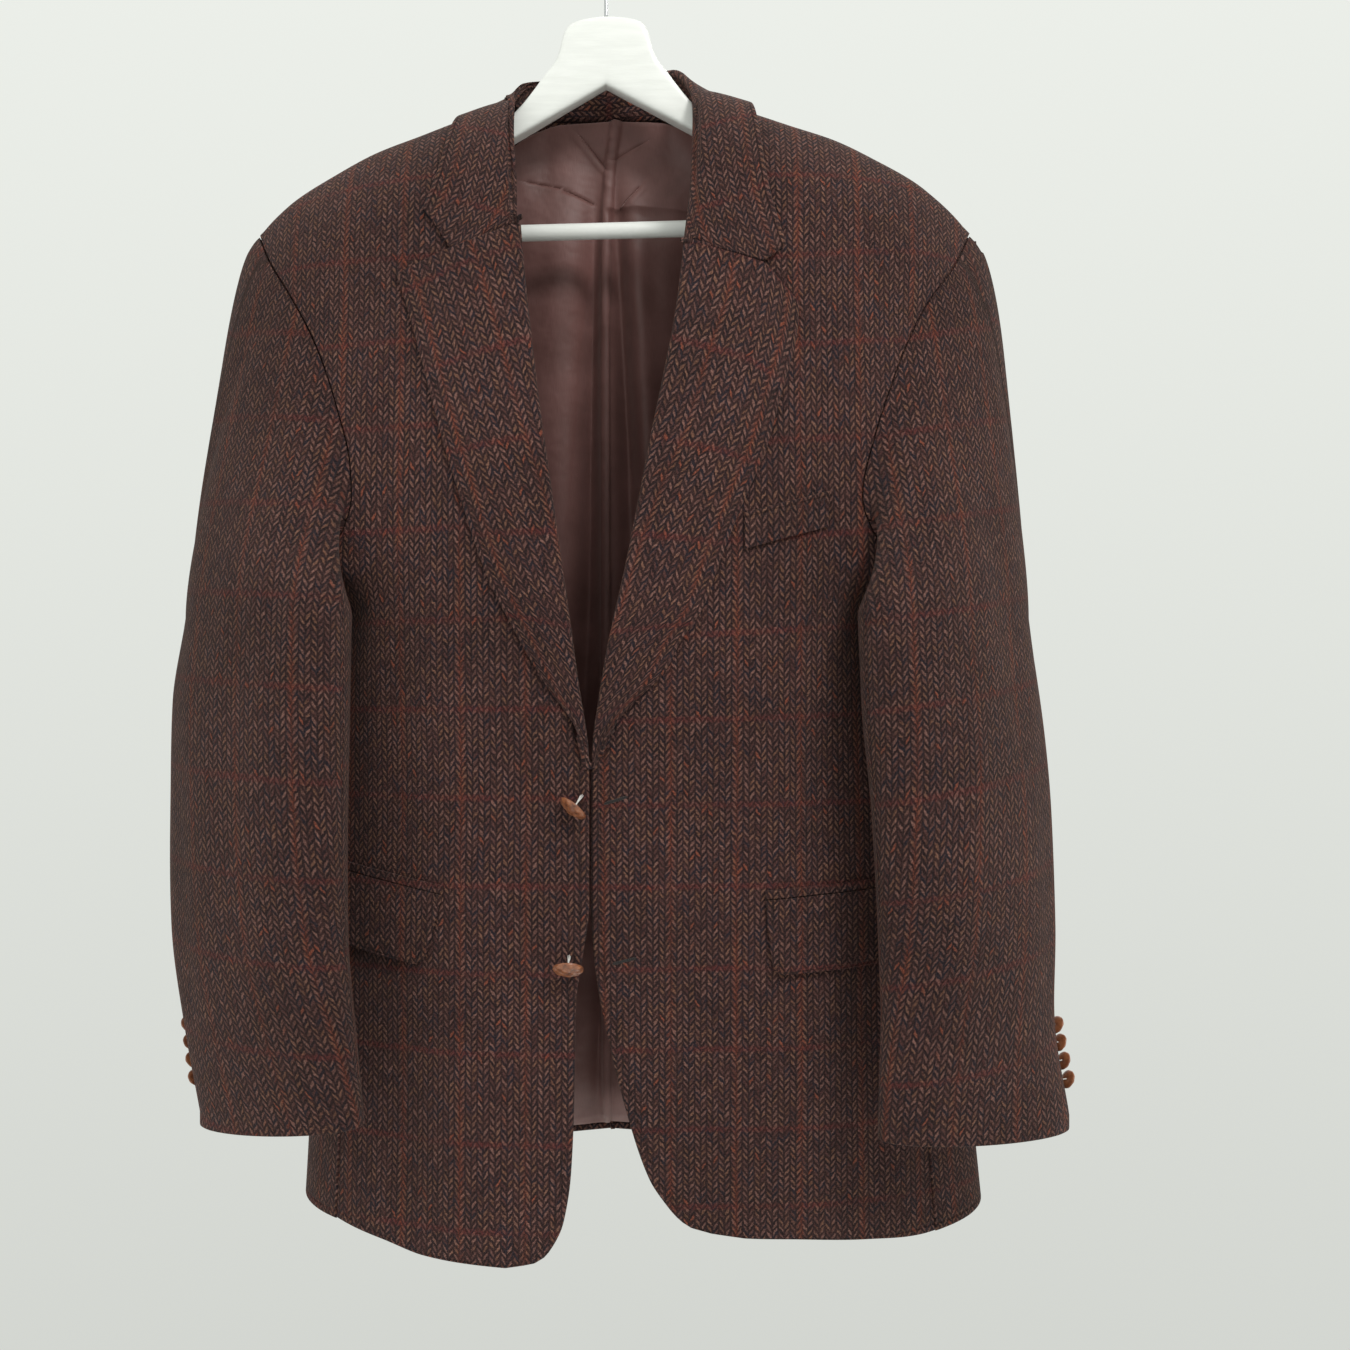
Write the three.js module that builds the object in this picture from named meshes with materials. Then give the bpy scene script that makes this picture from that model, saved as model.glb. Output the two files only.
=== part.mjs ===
// A tweed hacking jacket hanging on a wooden coat hanger, built from the pieces a tailor cuts and sews.
// Millimetres, +Z up. +X is to the right of someone facing the jacket, and -Y points towards that person.
// The origin is where the rail bears on the hanger's hook, so every height below is negative.
import * as THREE from "three";

// ---- Driving dimensions ----
const TWEED = 2.6; // wall of the fronts, back and sleeves
const LAPEL_WALL = 2.8; // lapel and collar, which are two thin layers pressed together
const LINING_WALL = 1;
const SEAM = 0.5; // gap between neighbouring panels at a seam
const TILT = Math.tan(THREE.MathUtils.degToRad(1.6)); // the hanger dips to the left
const FRONT_SEAM = 0.85; // front-to-side seam, as a share of the body's half width
const BACK_SEAM = 0.88; // side-to-back seam
const FRONT_POWER = 2.4; // a higher power makes a section flatter in the middle and rounder at its side
const BACK_POWER = 4;
const SHOULDER_RADIUS = 70; // height over which a panel rolls over onto the shoulder seam
const UNDERARM_Z = -462;
const SLEEVE_GAP = 8; // the body keeps this clear of a hanging sleeve

// ---- Body sections: one row for each height. half = half width, front / side / back = y of the section ----
const BODY = {
  left: [
    { z: -120, half: 266, front: -50, side: 0, back: 47 },
    { z: -250, half: 266, front: -62, side: 0, back: 62 },
    { z: -350, half: 258, front: -73, side: 2, back: 70 },
    { z: -460, half: 246, front: -79, side: 8, back: 74 },
    { z: -550, half: 236, front: -79, side: 18, back: 74 },
    { z: -650, half: 228, front: -77, side: 26, back: 75 },
    { z: -750, half: 224, front: -75, side: 28, back: 78 },
    { z: -850, half: 224, front: -77, side: 26, back: 82 },
    { z: -955, half: 228, front: -81, side: 22, back: 85 },
  ],
  right: [
    { z: -120, half: 280, front: -50, side: 0, back: 47 },
    { z: -250, half: 276, front: -62, side: 0, back: 62 },
    { z: -350, half: 266, front: -73, side: 2, back: 70 },
    { z: -460, half: 256, front: -78, side: 8, back: 74 },
    { z: -550, half: 252, front: -77, side: 18, back: 74 },
    { z: -650, half: 256, front: -73, side: 26, back: 75 },
    { z: -750, half: 264, front: -67, side: 28, back: 78 },
    { z: -850, half: 274, front: -61, side: 26, back: 82 },
    { z: -955, half: 284, front: -56, side: 22, back: 85 },
  ],
};

// Shoulder line before the hanger's tilt: height against distance from the centre.
const SHOULDER = [
  { x: 0, z: -114 },
  { x: 40, z: -116 },
  { x: 70, z: -120 },
  { x: 82, z: -122.5 },
  { x: 105, z: -129.5 },
  { x: 135, z: -140 },
  { x: 168, z: -151.5 },
  { x: 200, z: -167.5 },
  { x: 227, z: -183 },
  { x: 244, z: -196.5 },
  { x: 257, z: -208.5 },
  { x: 272, z: -224 },
];

// Front edge and, above the break, the roll line of the lapel: distance from the centre at each height.
const FRONT_EDGE = {
  left: [
    { z: -949, x: 66 },
    { z: -945, x: 45 },
    { z: -938, x: 36 },
    { z: -917, x: 25.5 },
    { z: -884, x: 20.5 },
    { z: -837, x: 18.5 },
    { z: -771, x: 17.6 },
    { z: -734, x: 12.4 },
    { z: -700, x: 9.3 },
    { z: -603, x: 9 },
    { z: -540, x: 16 },
    { z: -439, x: 30 },
    { z: -326, x: 46 },
    { z: -223, x: 57 },
    { z: -162, x: 60 },
    { z: -128, x: 70 },
  ],
  right: [
    { z: -938, x: 100 },
    { z: -932, x: 66 },
    { z: -926, x: 56 },
    { z: -913, x: 44.5 },
    { z: -895, x: 33 },
    { z: -854, x: 19 },
    { z: -802, x: 6 },
    { z: -743, x: -4.8 },
    { z: -700, x: -7 },
    { z: -603, x: -6 },
    { z: -540, x: 1 },
    { z: -459, x: 18 },
    { z: -376, x: 34 },
    { z: -281, x: 52 },
    { z: -190, x: 62 },
    { z: -128, x: 70 },
  ],
};

// Armhole: distance from the centre at each height, in front and behind.
const ARMHOLE = {
  left: {
    front: [
      { z: -459, x: 209 },
      { z: -452, x: 196 },
      { z: -440, x: 184 },
      { z: -415, x: 177 },
      { z: -393, x: 178 },
      { z: -350, x: 188.5 },
      { z: -307, x: 204 },
      { z: -267, x: 226 },
      { z: -243, x: 242 },
      { z: -215, x: 257 },
    ],
    back: [
      { z: -459, x: 216.5 },
      { z: -430, x: 215 },
      { z: -390, x: 217 },
      { z: -340, x: 222 },
      { z: -290, x: 232 },
      { z: -255, x: 243 },
      { z: -215, x: 257 },
    ],
  },
  right: {
    front: [
      { z: -459, x: 217.6 },
      { z: -452, x: 204 },
      { z: -440, x: 191 },
      { z: -415, x: 183 },
      { z: -372, x: 192 },
      { z: -336, x: 204 },
      { z: -307, x: 215 },
      { z: -276, x: 231 },
      { z: -245, x: 253 },
      { z: -213, x: 270 },
    ],
    back: [
      { z: -459, x: 225.3 },
      { z: -430, x: 224 },
      { z: -390, x: 226 },
      { z: -340, x: 231 },
      { z: -290, x: 242 },
      { z: -255, x: 254 },
      { z: -213, x: 270 },
    ],
  },
};
const SHOULDER_POINT = { left: 257, right: 270 };
const NECK_POINT = 82;

// The sleeve's seam round the armhole: its height at each turn round the sleeve, from the shoulder forwards.
const SLEEVE_SEAM = [
  { turn: 0, z: -213 },
  { turn: 30, z: -243 },
  { turn: 60, z: -278 },
  { turn: 90, z: -316 },
  { turn: 120, z: -352 },
  { turn: 150, z: -388 },
  { turn: 178, z: -420 },
  { turn: 196, z: -440 },
  { turn: 212, z: -452 },
  { turn: 228, z: -459 },
  { turn: 315, z: -459 },
  { turn: 324, z: -425 },
  { turn: 334, z: -375 },
  { turn: 343, z: -310 },
  { turn: 352, z: -258 },
  { turn: 360, z: -213 },
];
const UNDERARM_TURNS = { front: 228, side: 286, back: 315 }; // where the side panel's top edge meets the sleeve

// Sleeve sections: an ellipse with half axes a and b at each height. turn swings the long axis, so that the
// fold of the sleeve lies forward of the body; x and y are the section's centre.
const SLEEVE = {
  left: [
    { z: -500, x: 240.4, y: -40, a: 84, b: 42, turn: 42 },
    { z: -560, x: 244, y: -46, a: 86, b: 41, turn: 38 },
    { z: -640, x: 242.5, y: -56, a: 84, b: 40, turn: 37 },
    { z: -720, x: 239, y: -66, a: 81, b: 36, turn: 34 },
    { z: -790, x: 229, y: -74, a: 73, b: 32, turn: 28 },
    { z: -845, x: 219.4, y: -80, a: 67, b: 27, turn: 24 },
  ],
  right: [
    { z: -500, x: 244.5, y: -40, a: 84, b: 42, turn: 43 },
    { z: -560, x: 248.5, y: -46, a: 84, b: 42, turn: 40 },
    { z: -640, x: 254, y: -56, a: 80, b: 40, turn: 36 },
    { z: -720, x: 255.5, y: -66, a: 76, b: 36, turn: 32 },
    { z: -790, x: 254, y: -75, a: 69, b: 32, turn: 24 },
    { z: -845, x: 256.3, y: -82, a: 70, b: 27, turn: 14 },
  ],
};
const CUFF = { left: { z: -849, slope: 0.1 }, right: { z: -855, slope: 0.01 } }; // slope: lower outwards

// Front hem: height against distance from the centre, out to the side of the body.
const HEM = {
  left: [
    { x: 50, z: -949 },
    { x: 88, z: -947 },
    { x: 124, z: -945 },
    { x: 155, z: -938 },
    { x: 183, z: -932.5 },
    { x: 200, z: -929 },
    { x: 228, z: -924 },
  ],
  right: [
    { x: 60, z: -928 },
    { x: 106, z: -934 },
    { x: 142, z: -936.5 },
    { x: 191, z: -942 },
    { x: 230, z: -945 },
    { x: 259, z: -942 },
    { x: 284, z: -934 },
  ],
};
const BACK_HEM = { seam: -922, centre: -902 };

// Hip pocket flaps: distances from the centre and heights of the top edge at both ends, and the drop.
const FLAP = {
  left: { inner: 110, outer: 214, innerZ: -694, outerZ: -676, drop: 52, slant: 13 },
  right: { inner: 114, outer: 246, innerZ: -698, outerZ: -690, drop: 53, slant: 5 },
};
const FLAP_WALL = 2;
const PATCH_GAP = 1.1; // under what lies on a front
const JETTING = { height: 6, gap: 0.8, wall: 1.4 };
const WELT = { inner: 99, outer: 158, innerZ: -429, outerZ: -412, drop: 25, wall: 1.8 };

// Front buttons hang from their thread shanks; (x, y, z) is the way each one faces.
const FRONT_BUTTON = { radius: 10.8, thickness: 6, shank: 1.2 };
const FRONT_BUTTONS = {
  upper: { x: 17, z: -630, threadX: 13, threadZ: -624, out: 11, faceX: -0.6, faceY: -0.35, faceZ: -0.72 },
  lower: { x: 22, z: -740, threadX: 22, threadZ: -735, out: 10.5, faceX: 0, faceY: -0.53, faceZ: -0.85 },
};
const CUFF_BUTTON = { radius: 6.7, thickness: 3.4, shank: 0.8, tilt: 26, out: 5.6 };
const CUFF_BUTTON_ROW = { count: 4, top: -789, pitch: 12, turn: { left: -4, right: -2 } };

// Hanger: half its outline, as the heights of its top and bottom edges against distance from the centre.
const HANGER_TOP = [
  { x: 0, z: -55 },
  { x: 15, z: -56.5 },
  { x: 26, z: -60 },
  { x: 31, z: -67 },
  { x: 34, z: -79 },
  { x: 38, z: -88 },
  { x: 45, z: -97 },
  { x: 53, z: -108 },
  { x: 62, z: -119 },
  { x: 72, z: -128 },
  { x: 84, z: -132 },
  { x: 105, z: -136 },
];
const HANGER = { notchZ: -106, slope: 0.56, half: 8, seat: 5, socketX: 178, socketZ: -223, endX: 200, tip: 213 };
const HANGER_BAR = { z: -212, radius: 6 };
const HOOK = { wire: 1.5, loop: 17, foot: -54.4 };
const LINING = { hemV: 0.012, neckV: 1.82, shoulderV: 1.5, pleat: 6, pleatWidth: 5, gap: 1.8 };

const SLEEVE_HEAD = { left: 2, right: 26 }; // how far the head of the sleeve swells out
const SLEEVE_SEAMS = { front: 188, hind: -36, hindCuff: -20 }; // degrees round from the outer side, forwards

// Collar, from the middle of the back (t = 0) forward to the lapel (t = 1): its fold and its outer edge.
const COLLAR = {
  left: [
    { t: 0, x: 0, y: 44, z: -80, outX: 0, outY: 58, outZ: -133 },
    { t: 0.2, x: 27, y: 41, z: -81, outX: 36, outY: 56, outZ: -133 },
    { t: 0.38, x: 47, y: 31, z: -85, outX: 72, outY: 48, outZ: -131 },
    { t: 0.52, x: 59, y: 14, z: -96, outX: 95, outY: 26, outZ: -128 },
    { t: 0.66, x: 63, y: -14, z: -120, outX: 107, outY: -8, outZ: -128 },
    { t: 0.82, x: 61, y: -46, z: -160, outX: 113, outY: -52, outZ: -176 },
    { t: 1, x: 54, y: -58, z: -226, outX: 127, outY: -60, outZ: -213 },
  ],
  right: [
    { t: 0, x: 0, y: 44, z: -80, outX: 0, outY: 58, outZ: -133 },
    { t: 0.2, x: 27, y: 41, z: -78, outX: 36, outY: 56, outZ: -131 },
    { t: 0.38, x: 48, y: 31, z: -80, outX: 71, outY: 48, outZ: -128 },
    { t: 0.52, x: 57, y: 14, z: -94, outX: 94, outY: 24, outZ: -123 },
    { t: 0.66, x: 63, y: -14, z: -118, outX: 106, outY: -8, outZ: -125 },
    { t: 0.82, x: 64, y: -47, z: -166, outX: 112, outY: -52, outZ: -180 },
    { t: 1, x: 57, y: -58, z: -238, outX: 129, outY: -60, outZ: -239 },
  ],
};
const NOTCH = { left: { x: 105, z: -243 }, right: { x: 113, z: -253 } };

// Outer edge of each lapel: distance from the centre at each height, from the break to the tip.
const LAPEL_EDGE = {
  left: [
    { z: -603, x: 5 },
    { z: -596, x: 7.1 },
    { z: -575, x: 17.4 },
    { z: -552, x: 35.2 },
    { z: -506, x: 62 },
    { z: -471, x: 79.3 },
    { z: -425, x: 95.3 },
    { z: -382, x: 109.1 },
    { z: -325, x: 125 },
    { z: -283, x: 137 },
    { z: -260, x: 144.7 },
  ],
  right: [
    { z: -603, x: -9 },
    { z: -586, x: 1 },
    { z: -561, x: 22.3 },
    { z: -540, x: 43.5 },
    { z: -517, x: 55.8 },
    { z: -494, x: 70.9 },
    { z: -460, x: 83.2 },
    { z: -427, x: 96.3 },
    { z: -382, x: 115.2 },
    { z: -351, x: 123.7 },
    { z: -301, x: 136.7 },
    { z: -281, x: 138.4 },
  ],
};

// Largest folds of the hanging cloth: a soft trough (depth > 0, away from the viewer) in a front panel.
const FOLDS = {
  left: [
    { x: 150, lean: 0.04, z: -520, width: 30, length: 210, depth: 6 },
    { x: 92, lean: -0.05, z: -800, width: 30, length: 150, depth: -3 },
    { x: 140, lean: 0.1, z: -870, width: 30, length: 110, depth: 4 },
  ],
  right: [
    { x: 158, lean: 0.02, z: -500, width: 28, length: 180, depth: 6 },
    { x: 70, lean: 0.06, z: -800, width: 28, length: 150, depth: 3 },
    { x: 150, lean: -0.08, z: -870, width: 36, length: 110, depth: -3 },
  ],
};

// ---- Curves ----
// A smooth curve through a table's column, by the monotone cubic rule, so that it never overshoots its rows.
function column(rows, key, value) {
  const list = [...rows].sort((p, q) => p[key] - q[key]);
  const xs = list.map((row) => row[key]);
  const ys = list.map((row) => row[value]);
  const slopes = xs.slice(1).map((x, i) => (ys[i + 1] - ys[i]) / (x - xs[i]));
  const tangents = xs.map((_, i) => {
    if (i === 0) return slopes[0];
    if (i === xs.length - 1) return slopes[i - 1];
    const before = slopes[i - 1];
    const after = slopes[i];
    return before * after <= 0 ? 0 : (2 * before * after) / (before + after);
  });
  return (x) => {
    const at = Math.min(Math.max(x, xs[0]), xs[xs.length - 1]);
    let i = 0;
    while (i < xs.length - 2 && at > xs[i + 1]) i += 1;
    const span = xs[i + 1] - xs[i];
    const t = (at - xs[i]) / span;
    const rise = ys[i + 1] - ys[i];
    const c = span * tangents[i];
    const d = span * tangents[i + 1];
    return ys[i] + t * (c + t * (3 * rise - 2 * c - d + t * (c + d - 2 * rise)));
  };
}

const smooth = (low, high, x) => THREE.MathUtils.smoothstep(x, low, high);
const lerp = THREE.MathUtils.lerp;
const steps = (count) => Array.from({ length: count + 1 }, (_, i) => i / count);

const SIDES = { left: -1, right: 1 };
const shoulderLine = column(SHOULDER, "x", "z");
const shape = {};
for (const side of Object.keys(SIDES)) {
  const read = (rows, names, key = "z") => Object.fromEntries(
    names.map((name) => [name, column(rows, key, name)]),
  );
  shape[side] = {
    body: read(BODY[side], ["half", "front", "side", "back"]),
    sleeve: read(SLEEVE[side], ["x", "y", "a", "b", "turn"]),
    edge: column(FRONT_EDGE[side], "z", "x"),
    armFront: column(ARMHOLE[side].front, "z", "x"),
    armBack: column(ARMHOLE[side].back, "z", "x"),
    lapel: column(LAPEL_EDGE[side], "z", "x"),
    collar: read(COLLAR[side], ["x", "y", "z", "outX", "outY", "outZ"], "t"),
  };
}

// Height of the shoulder seam at a distance x out from the centre on one side.
const ridge = (side, x) => shoulderLine(Math.abs(x)) + SIDES[side] * x * TILT;

// ---- The body's surface ----
function foldDepth(side, x, z) {
  let depth = 0;
  for (const fold of FOLDS[side]) {
    const across = (x - fold.x - fold.lean * (z - fold.z)) / fold.width;
    const along = (z - fold.z) / fold.length;
    depth += fold.depth * Math.exp(-across * across - along * along * along * along);
  }
  return depth;
}

// Moves a body point off the hanging sleeve beside it, towards the back and the centre.
function clearOfSleeve(side, x, y, z) {
  const s = shape[side].sleeve;
  const share = 1 - smooth(-496, UNDERARM_Z, z);
  if (share <= 0) return [x, y];
  const level = Math.min(z, SLEEVE[side][0].z);
  const turn = THREE.MathUtils.degToRad(s.turn(level));
  const [cos, sin] = [Math.cos(turn), Math.sin(turn)];
  const dx = x - s.x(level);
  const df = -(y - s.y(level));
  const along = dx * cos - df * sin;
  const out = dx * sin + df * cos;
  const a = s.a(level) + SLEEVE_GAP + 14;
  const b = s.b(level) + SLEEVE_GAP;
  if (Math.abs(along) >= a) return [x, y];
  const limit = -b * Math.sqrt(1 - (along / a) ** 2);
  const soft = 8;
  const over = out - limit;
  const push = over > 30 * soft ? over : soft * Math.log1p(Math.exp(over / soft));
  const moved = share * push;
  return [x - moved * sin, y + moved * cos];
}

// A point of the front (facing -1) or back (facing 1), x out from the centre at height z.
// roll is the angle from the shoulder seam, in radians: it replaces z within SHOULDER_RADIUS of the seam.
function bodyPoint(side, facing, x, z, roll = Math.PI / 2, gap = facing * SEAM / 2) {
  const s = shape[side].body;
  const height = roll < Math.PI / 2 ? ridge(side, x) - SHOULDER_RADIUS * (1 - Math.cos(roll)) : z;
  const drop = Math.min(Math.max(ridge(side, x) - height, 0) / SHOULDER_RADIUS, 1);
  const sine = roll < Math.PI / 2 ? Math.sin(roll) : Math.sqrt(1 - (1 - drop) ** 2);
  const share = Math.min(Math.abs(x) / s.half(height), 1);
  const power = facing < 0 ? FRONT_POWER : BACK_POWER;
  const spread = Math.sqrt(Math.max(1 - share ** power, 0));
  const rolled = lerp(1, sine, smooth(45, NECK_POINT, Math.abs(x)));
  const sideY = s.side(height);
  const middle = facing < 0 ? s.front(height) : s.back(height);
  let y = sideY + (middle - sideY) * spread * rolled;
  if (facing < 0) y += foldDepth(side, x, height) * rolled;
  const [px, py] = clearOfSleeve(side, x, y, height);
  return new THREE.Vector3(SIDES[side] * px, py + gap, height);
}

// A point round the side of the body: turn is -1 at the front seam, 0 at the side and 1 at the back seam.
function sidePoint(side, turn, z) {
  const s = shape[side].body;
  const facing = turn < 0 ? -1 : 1;
  const seam = turn < 0 ? FRONT_SEAM : BACK_SEAM;
  const angle = Math.PI / 2 - Math.abs(turn) * (Math.PI / 2 - Math.asin(seam));
  return bodyPoint(side, facing, Math.sin(angle) * s.half(z), z, Math.PI / 2, turn * SEAM / 2);
}

// ---- Walls: a grid of points, thickened behind its outer face into one closed solid ----
// at(u, v) gives the outer face; outward is 1 where the cross product of its u and v steps points out.
function wall(at, us, vs, thickness, outward) {
  const step = 1e-3;
  const rows = us.map((u) => vs.map((v) => {
    const point = at(u, v);
    const du = at(u + step, v).sub(at(u - step, v));
    const dv = at(u, v + step).sub(at(u, v - step));
    const normal = du.cross(dv).normalize().multiplyScalar(outward);
    return { point, inner: point.clone().addScaledVector(normal, -thickness) };
  }));
  const width = us.length;
  const height = vs.length;
  const positions = [];
  for (const name of ["point", "inner"]) {
    for (const row of rows) for (const cell of row) positions.push(...cell[name].toArray());
  }
  const outer = (i, j) => i * height + j;
  const inner = (i, j) => width * height + i * height + j;
  const index = [];
  const quad = (a, b, c, d) => index.push(...(outward > 0 ? [a, b, c, a, c, d] : [c, b, a, d, c, a]));
  for (let i = 0; i + 1 < width; i += 1) {
    for (let j = 0; j + 1 < height; j += 1) {
      quad(outer(i, j), outer(i + 1, j), outer(i + 1, j + 1), outer(i, j + 1));
      quad(inner(i, j + 1), inner(i + 1, j + 1), inner(i + 1, j), inner(i, j));
    }
    quad(inner(i, 0), inner(i + 1, 0), outer(i + 1, 0), outer(i, 0));
    quad(outer(i, height - 1), outer(i + 1, height - 1), inner(i + 1, height - 1), inner(i, height - 1));
  }
  for (let j = 0; j + 1 < height; j += 1) {
    quad(outer(0, j + 1), inner(0, j + 1), inner(0, j), outer(0, j));
    quad(outer(width - 1, j), inner(width - 1, j), inner(width - 1, j + 1), outer(width - 1, j + 1));
  }
  const geometry = new THREE.BufferGeometry();
  geometry.setAttribute("position", new THREE.Float32BufferAttribute(positions, 3));
  geometry.setIndex(index);
  geometry.computeVertexNormals();
  return geometry;
}

// ---- Materials ----
const material = (color, roughness, metalness = 0) => new THREE.MeshStandardMaterial({ color, roughness, metalness });
const tweed = material(0x48322c, 0.95);
const satin = material(0x6b4f4a, 0.4);
const leather = material(0x7a4630, 0.45);
const paintedWood = material(0xe9e8e4, 0.35);
const steel = material(0xb9bcbd, 0.3, 1);

const jacket = new THREE.Group();
function add(name, geometry, finish, parent = jacket) {
  const mesh = new THREE.Mesh(geometry, finish);
  mesh.name = name;
  parent.add(mesh);
  return mesh;
}

// ---- Panels of the body ----
// v runs up each panel: 0 at the hem, 1 where the shoulder's roll starts and 2 at the shoulder seam.
const UNDERARM_V = 0.64;
const HEM_LEVEL = -930; // where the width of the body at its hem is read
const SIDE_ARC = 60; // length of half a side panel's curve
const SEAM_ROWS = [
  { v: UNDERARM_V, z: UNDERARM_Z },
  { v: 0.66, z: -455 },
  { v: 0.69, z: -441 },
  { v: 0.73, z: -412 },
];
const panelRows = [
  0, 0.005, 0.015, 0.035, 0.08, 0.15, 0.23, 0.31, 0.39, 0.46, 0.52, 0.57, 0.61, UNDERARM_V, 0.66, 0.69, 0.73,
  0.79, 0.86, 0.93, 1, 1.25, 1.5, 1.75, 2,
];
const LAPEL_TUCK = 8; // above the break the front stops this far behind the lapel's fold
const BREAK_Z = -603;
const hem = Object.fromEntries(Object.keys(SIDES).map((side) => [side, column(HEM[side], "x", "z")]));
const rollAt = (v) => (Math.PI / 2) * (v > 1 ? 2 - v : 1);

// Height of a seam's point at v, from its hem to the start of the shoulder's roll.
function seamHeight(v, hemZ, topZ) {
  if (v <= UNDERARM_V) return lerp(hemZ, UNDERARM_Z, v / UNDERARM_V);
  const rows = [...SEAM_ROWS, { v: 1, z: topZ }];
  const i = rows.findIndex((row) => row.v >= Math.min(v, 1));
  const [low, high] = [rows[i - 1], rows[i]];
  return lerp(low.z, high.z, (Math.min(v, 1) - low.v) / (high.v - low.v));
}

const shoulderX = (side, v, edgeX, topX) => lerp(edgeX, topX, Math.sin(Math.max(v - 1, 0) * Math.PI / 2));

// The armhole's edge at v, from just above the underarm to the shoulder seam.
function armholeEdge(side, edge, v) {
  const fall = SHOULDER_RADIUS * (1 - Math.cos(rollAt(Math.max(v, 1))));
  let x = SHOULDER_POINT[side];
  for (let i = 0; i < 12; i += 1) x = lerp(x, edge(ridge(side, x) - fall), 0.7);
  return { x, z: ridge(side, x) - fall };
}

// Outer edge of a front or back: the side seam below the underarm, and the armhole above it.
function panelOuter(side, edge, seamShare, hemZ, v) {
  const top = armholeEdge(side, edge, v);
  if (v >= 1) return { x: top.x - SEAM / 2, z: top.z };
  const z = seamHeight(v, hemZ, top.z);
  const x = v <= UNDERARM_V ? seamShare * shape[side].body.half(z) : edge(z);
  return { x: x - SEAM / 2, z };
}

// Inner edge of a front, where it turns into the lapel.
function frontInner(side, z, v = 0) {
  const tuck = LAPEL_TUCK * smooth(BREAK_Z - 12, BREAK_Z + 25, z);
  return shoulderX(side, v, shape[side].edge(z) + tuck, NECK_POINT);
}

// A point of a panel whose two long edges are known at v, bent to follow the hem and the shoulder line.
function panelPoint(side, facing, u, v, inner, outer, hemShape) {
  const x = lerp(inner.x, outer.x, u);
  const ridgeChord = lerp(ridge(side, inner.x), ridge(side, outer.x), u);
  const hemChord = lerp(hemShape(inner.x), hemShape(outer.x), u);
  const z = lerp(inner.z, outer.z, u)
    + smooth(0.6, 1, v) * (ridge(side, x) - ridgeChord)
    + (1 - smooth(0, 0.3, v)) * (hemShape(x) - hemChord);
  return bodyPoint(side, facing, x, z, rollAt(v));
}

function frontPoint(side, u, v) {
  const s = shape[side];
  const hemZ = FRONT_EDGE[side][0].z;
  const innerZ = lerp(hemZ, ridge(side, NECK_POINT) - SHOULDER_RADIUS, Math.min(v, 1));
  const inner = { x: frontInner(side, innerZ, v), z: innerZ };
  const seamHem = hem[side](FRONT_SEAM * s.body.half(HEM_LEVEL));
  const outer = panelOuter(side, s.armFront, FRONT_SEAM, seamHem, v);
  return panelPoint(side, -1, u, v, inner, outer, hem[side]);
}

function backPoint(side, u, v) {
  const innerZ = lerp(BACK_HEM.centre, ridge(side, 0) - SHOULDER_RADIUS, Math.min(v, 1));
  const outer = panelOuter(side, shape[side].armBack, BACK_SEAM, BACK_HEM.seam, v);
  return panelPoint(side, 1, u, v, { x: SEAM / 2, z: innerZ }, outer, () => 0);
}

function sidePanelPoint(side, u, v) {
  const s = shape[side].body;
  const edge = SEAM / 2 / SIDE_ARC;
  const turn = lerp(-1 + edge, 1 - edge, u);
  const frontHem = hem[side](FRONT_SEAM * s.half(HEM_LEVEL));
  const hemZ = lerp(frontHem, BACK_HEM.seam, u);
  return sidePoint(side, turn, lerp(hemZ, UNDERARM_Z, v / UNDERARM_V));
}

const frontColumns = [0, 0.05, 0.15, 0.28, 0.42, 0.56, 0.7, 0.84, 0.94, 1];
const backColumns = [0, 0.16, 0.34, 0.52, 0.7, 0.86, 1];
const backRows = panelRows.filter((v) => v !== 0.005 && v !== 0.015 && v !== 0.035);
const sideRows = panelRows.filter((v) => v <= UNDERARM_V && v !== 0.005 && v !== 0.015);
for (const side of Object.keys(SIDES)) {
  const sign = SIDES[side];
  add(`front_${side}`, wall((u, v) => frontPoint(side, u, v), frontColumns, panelRows, TWEED, sign), tweed);
  add(`back_${side}`, wall((u, v) => backPoint(side, u, v), backColumns, backRows, TWEED, -sign), tweed);
  add(`side_${side}`, wall((u, v) => sidePanelPoint(side, u, v), steps(5), sideRows, TWEED, sign), tweed);
}

// ---- Sleeves ----
const seamZ = column(SLEEVE_SEAM, "turn", "z");

// The edge of the armhole at a turn round the sleeve.
function armholePoint(side, turn) {
  const s = shape[side];
  const z = Math.min(seamZ(turn), ridge(side, SHOULDER_POINT[side]));
  const { front, side: middle, back } = UNDERARM_TURNS;
  if (turn <= front) return bodyPoint(side, -1, s.armFront(z), z);
  if (turn >= back) return bodyPoint(side, 1, s.armBack(z), z);
  const round = turn < middle ? (turn - middle) / (middle - front) : (turn - middle) / (back - middle);
  return sidePoint(side, round, UNDERARM_Z);
}

// A point of the hanging part of a sleeve at height z.
function sleeveSection(side, turn, z) {
  const s = shape[side].sleeve;
  const swing = THREE.MathUtils.degToRad(s.turn(z));
  const angle = THREE.MathUtils.degToRad(turn);
  const along = s.a(z) * Math.cos(angle);
  const out = s.b(z) * Math.sin(angle);
  const x = s.x(z) + along * Math.cos(swing) + out * Math.sin(swing);
  const y = s.y(z) + along * Math.sin(swing) - out * Math.cos(swing);
  return new THREE.Vector3(SIDES[side] * x, y, z);
}

// The underarm curves round this point of the body.
const BODY_AXIS = { x: 205, y: 8 };

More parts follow.
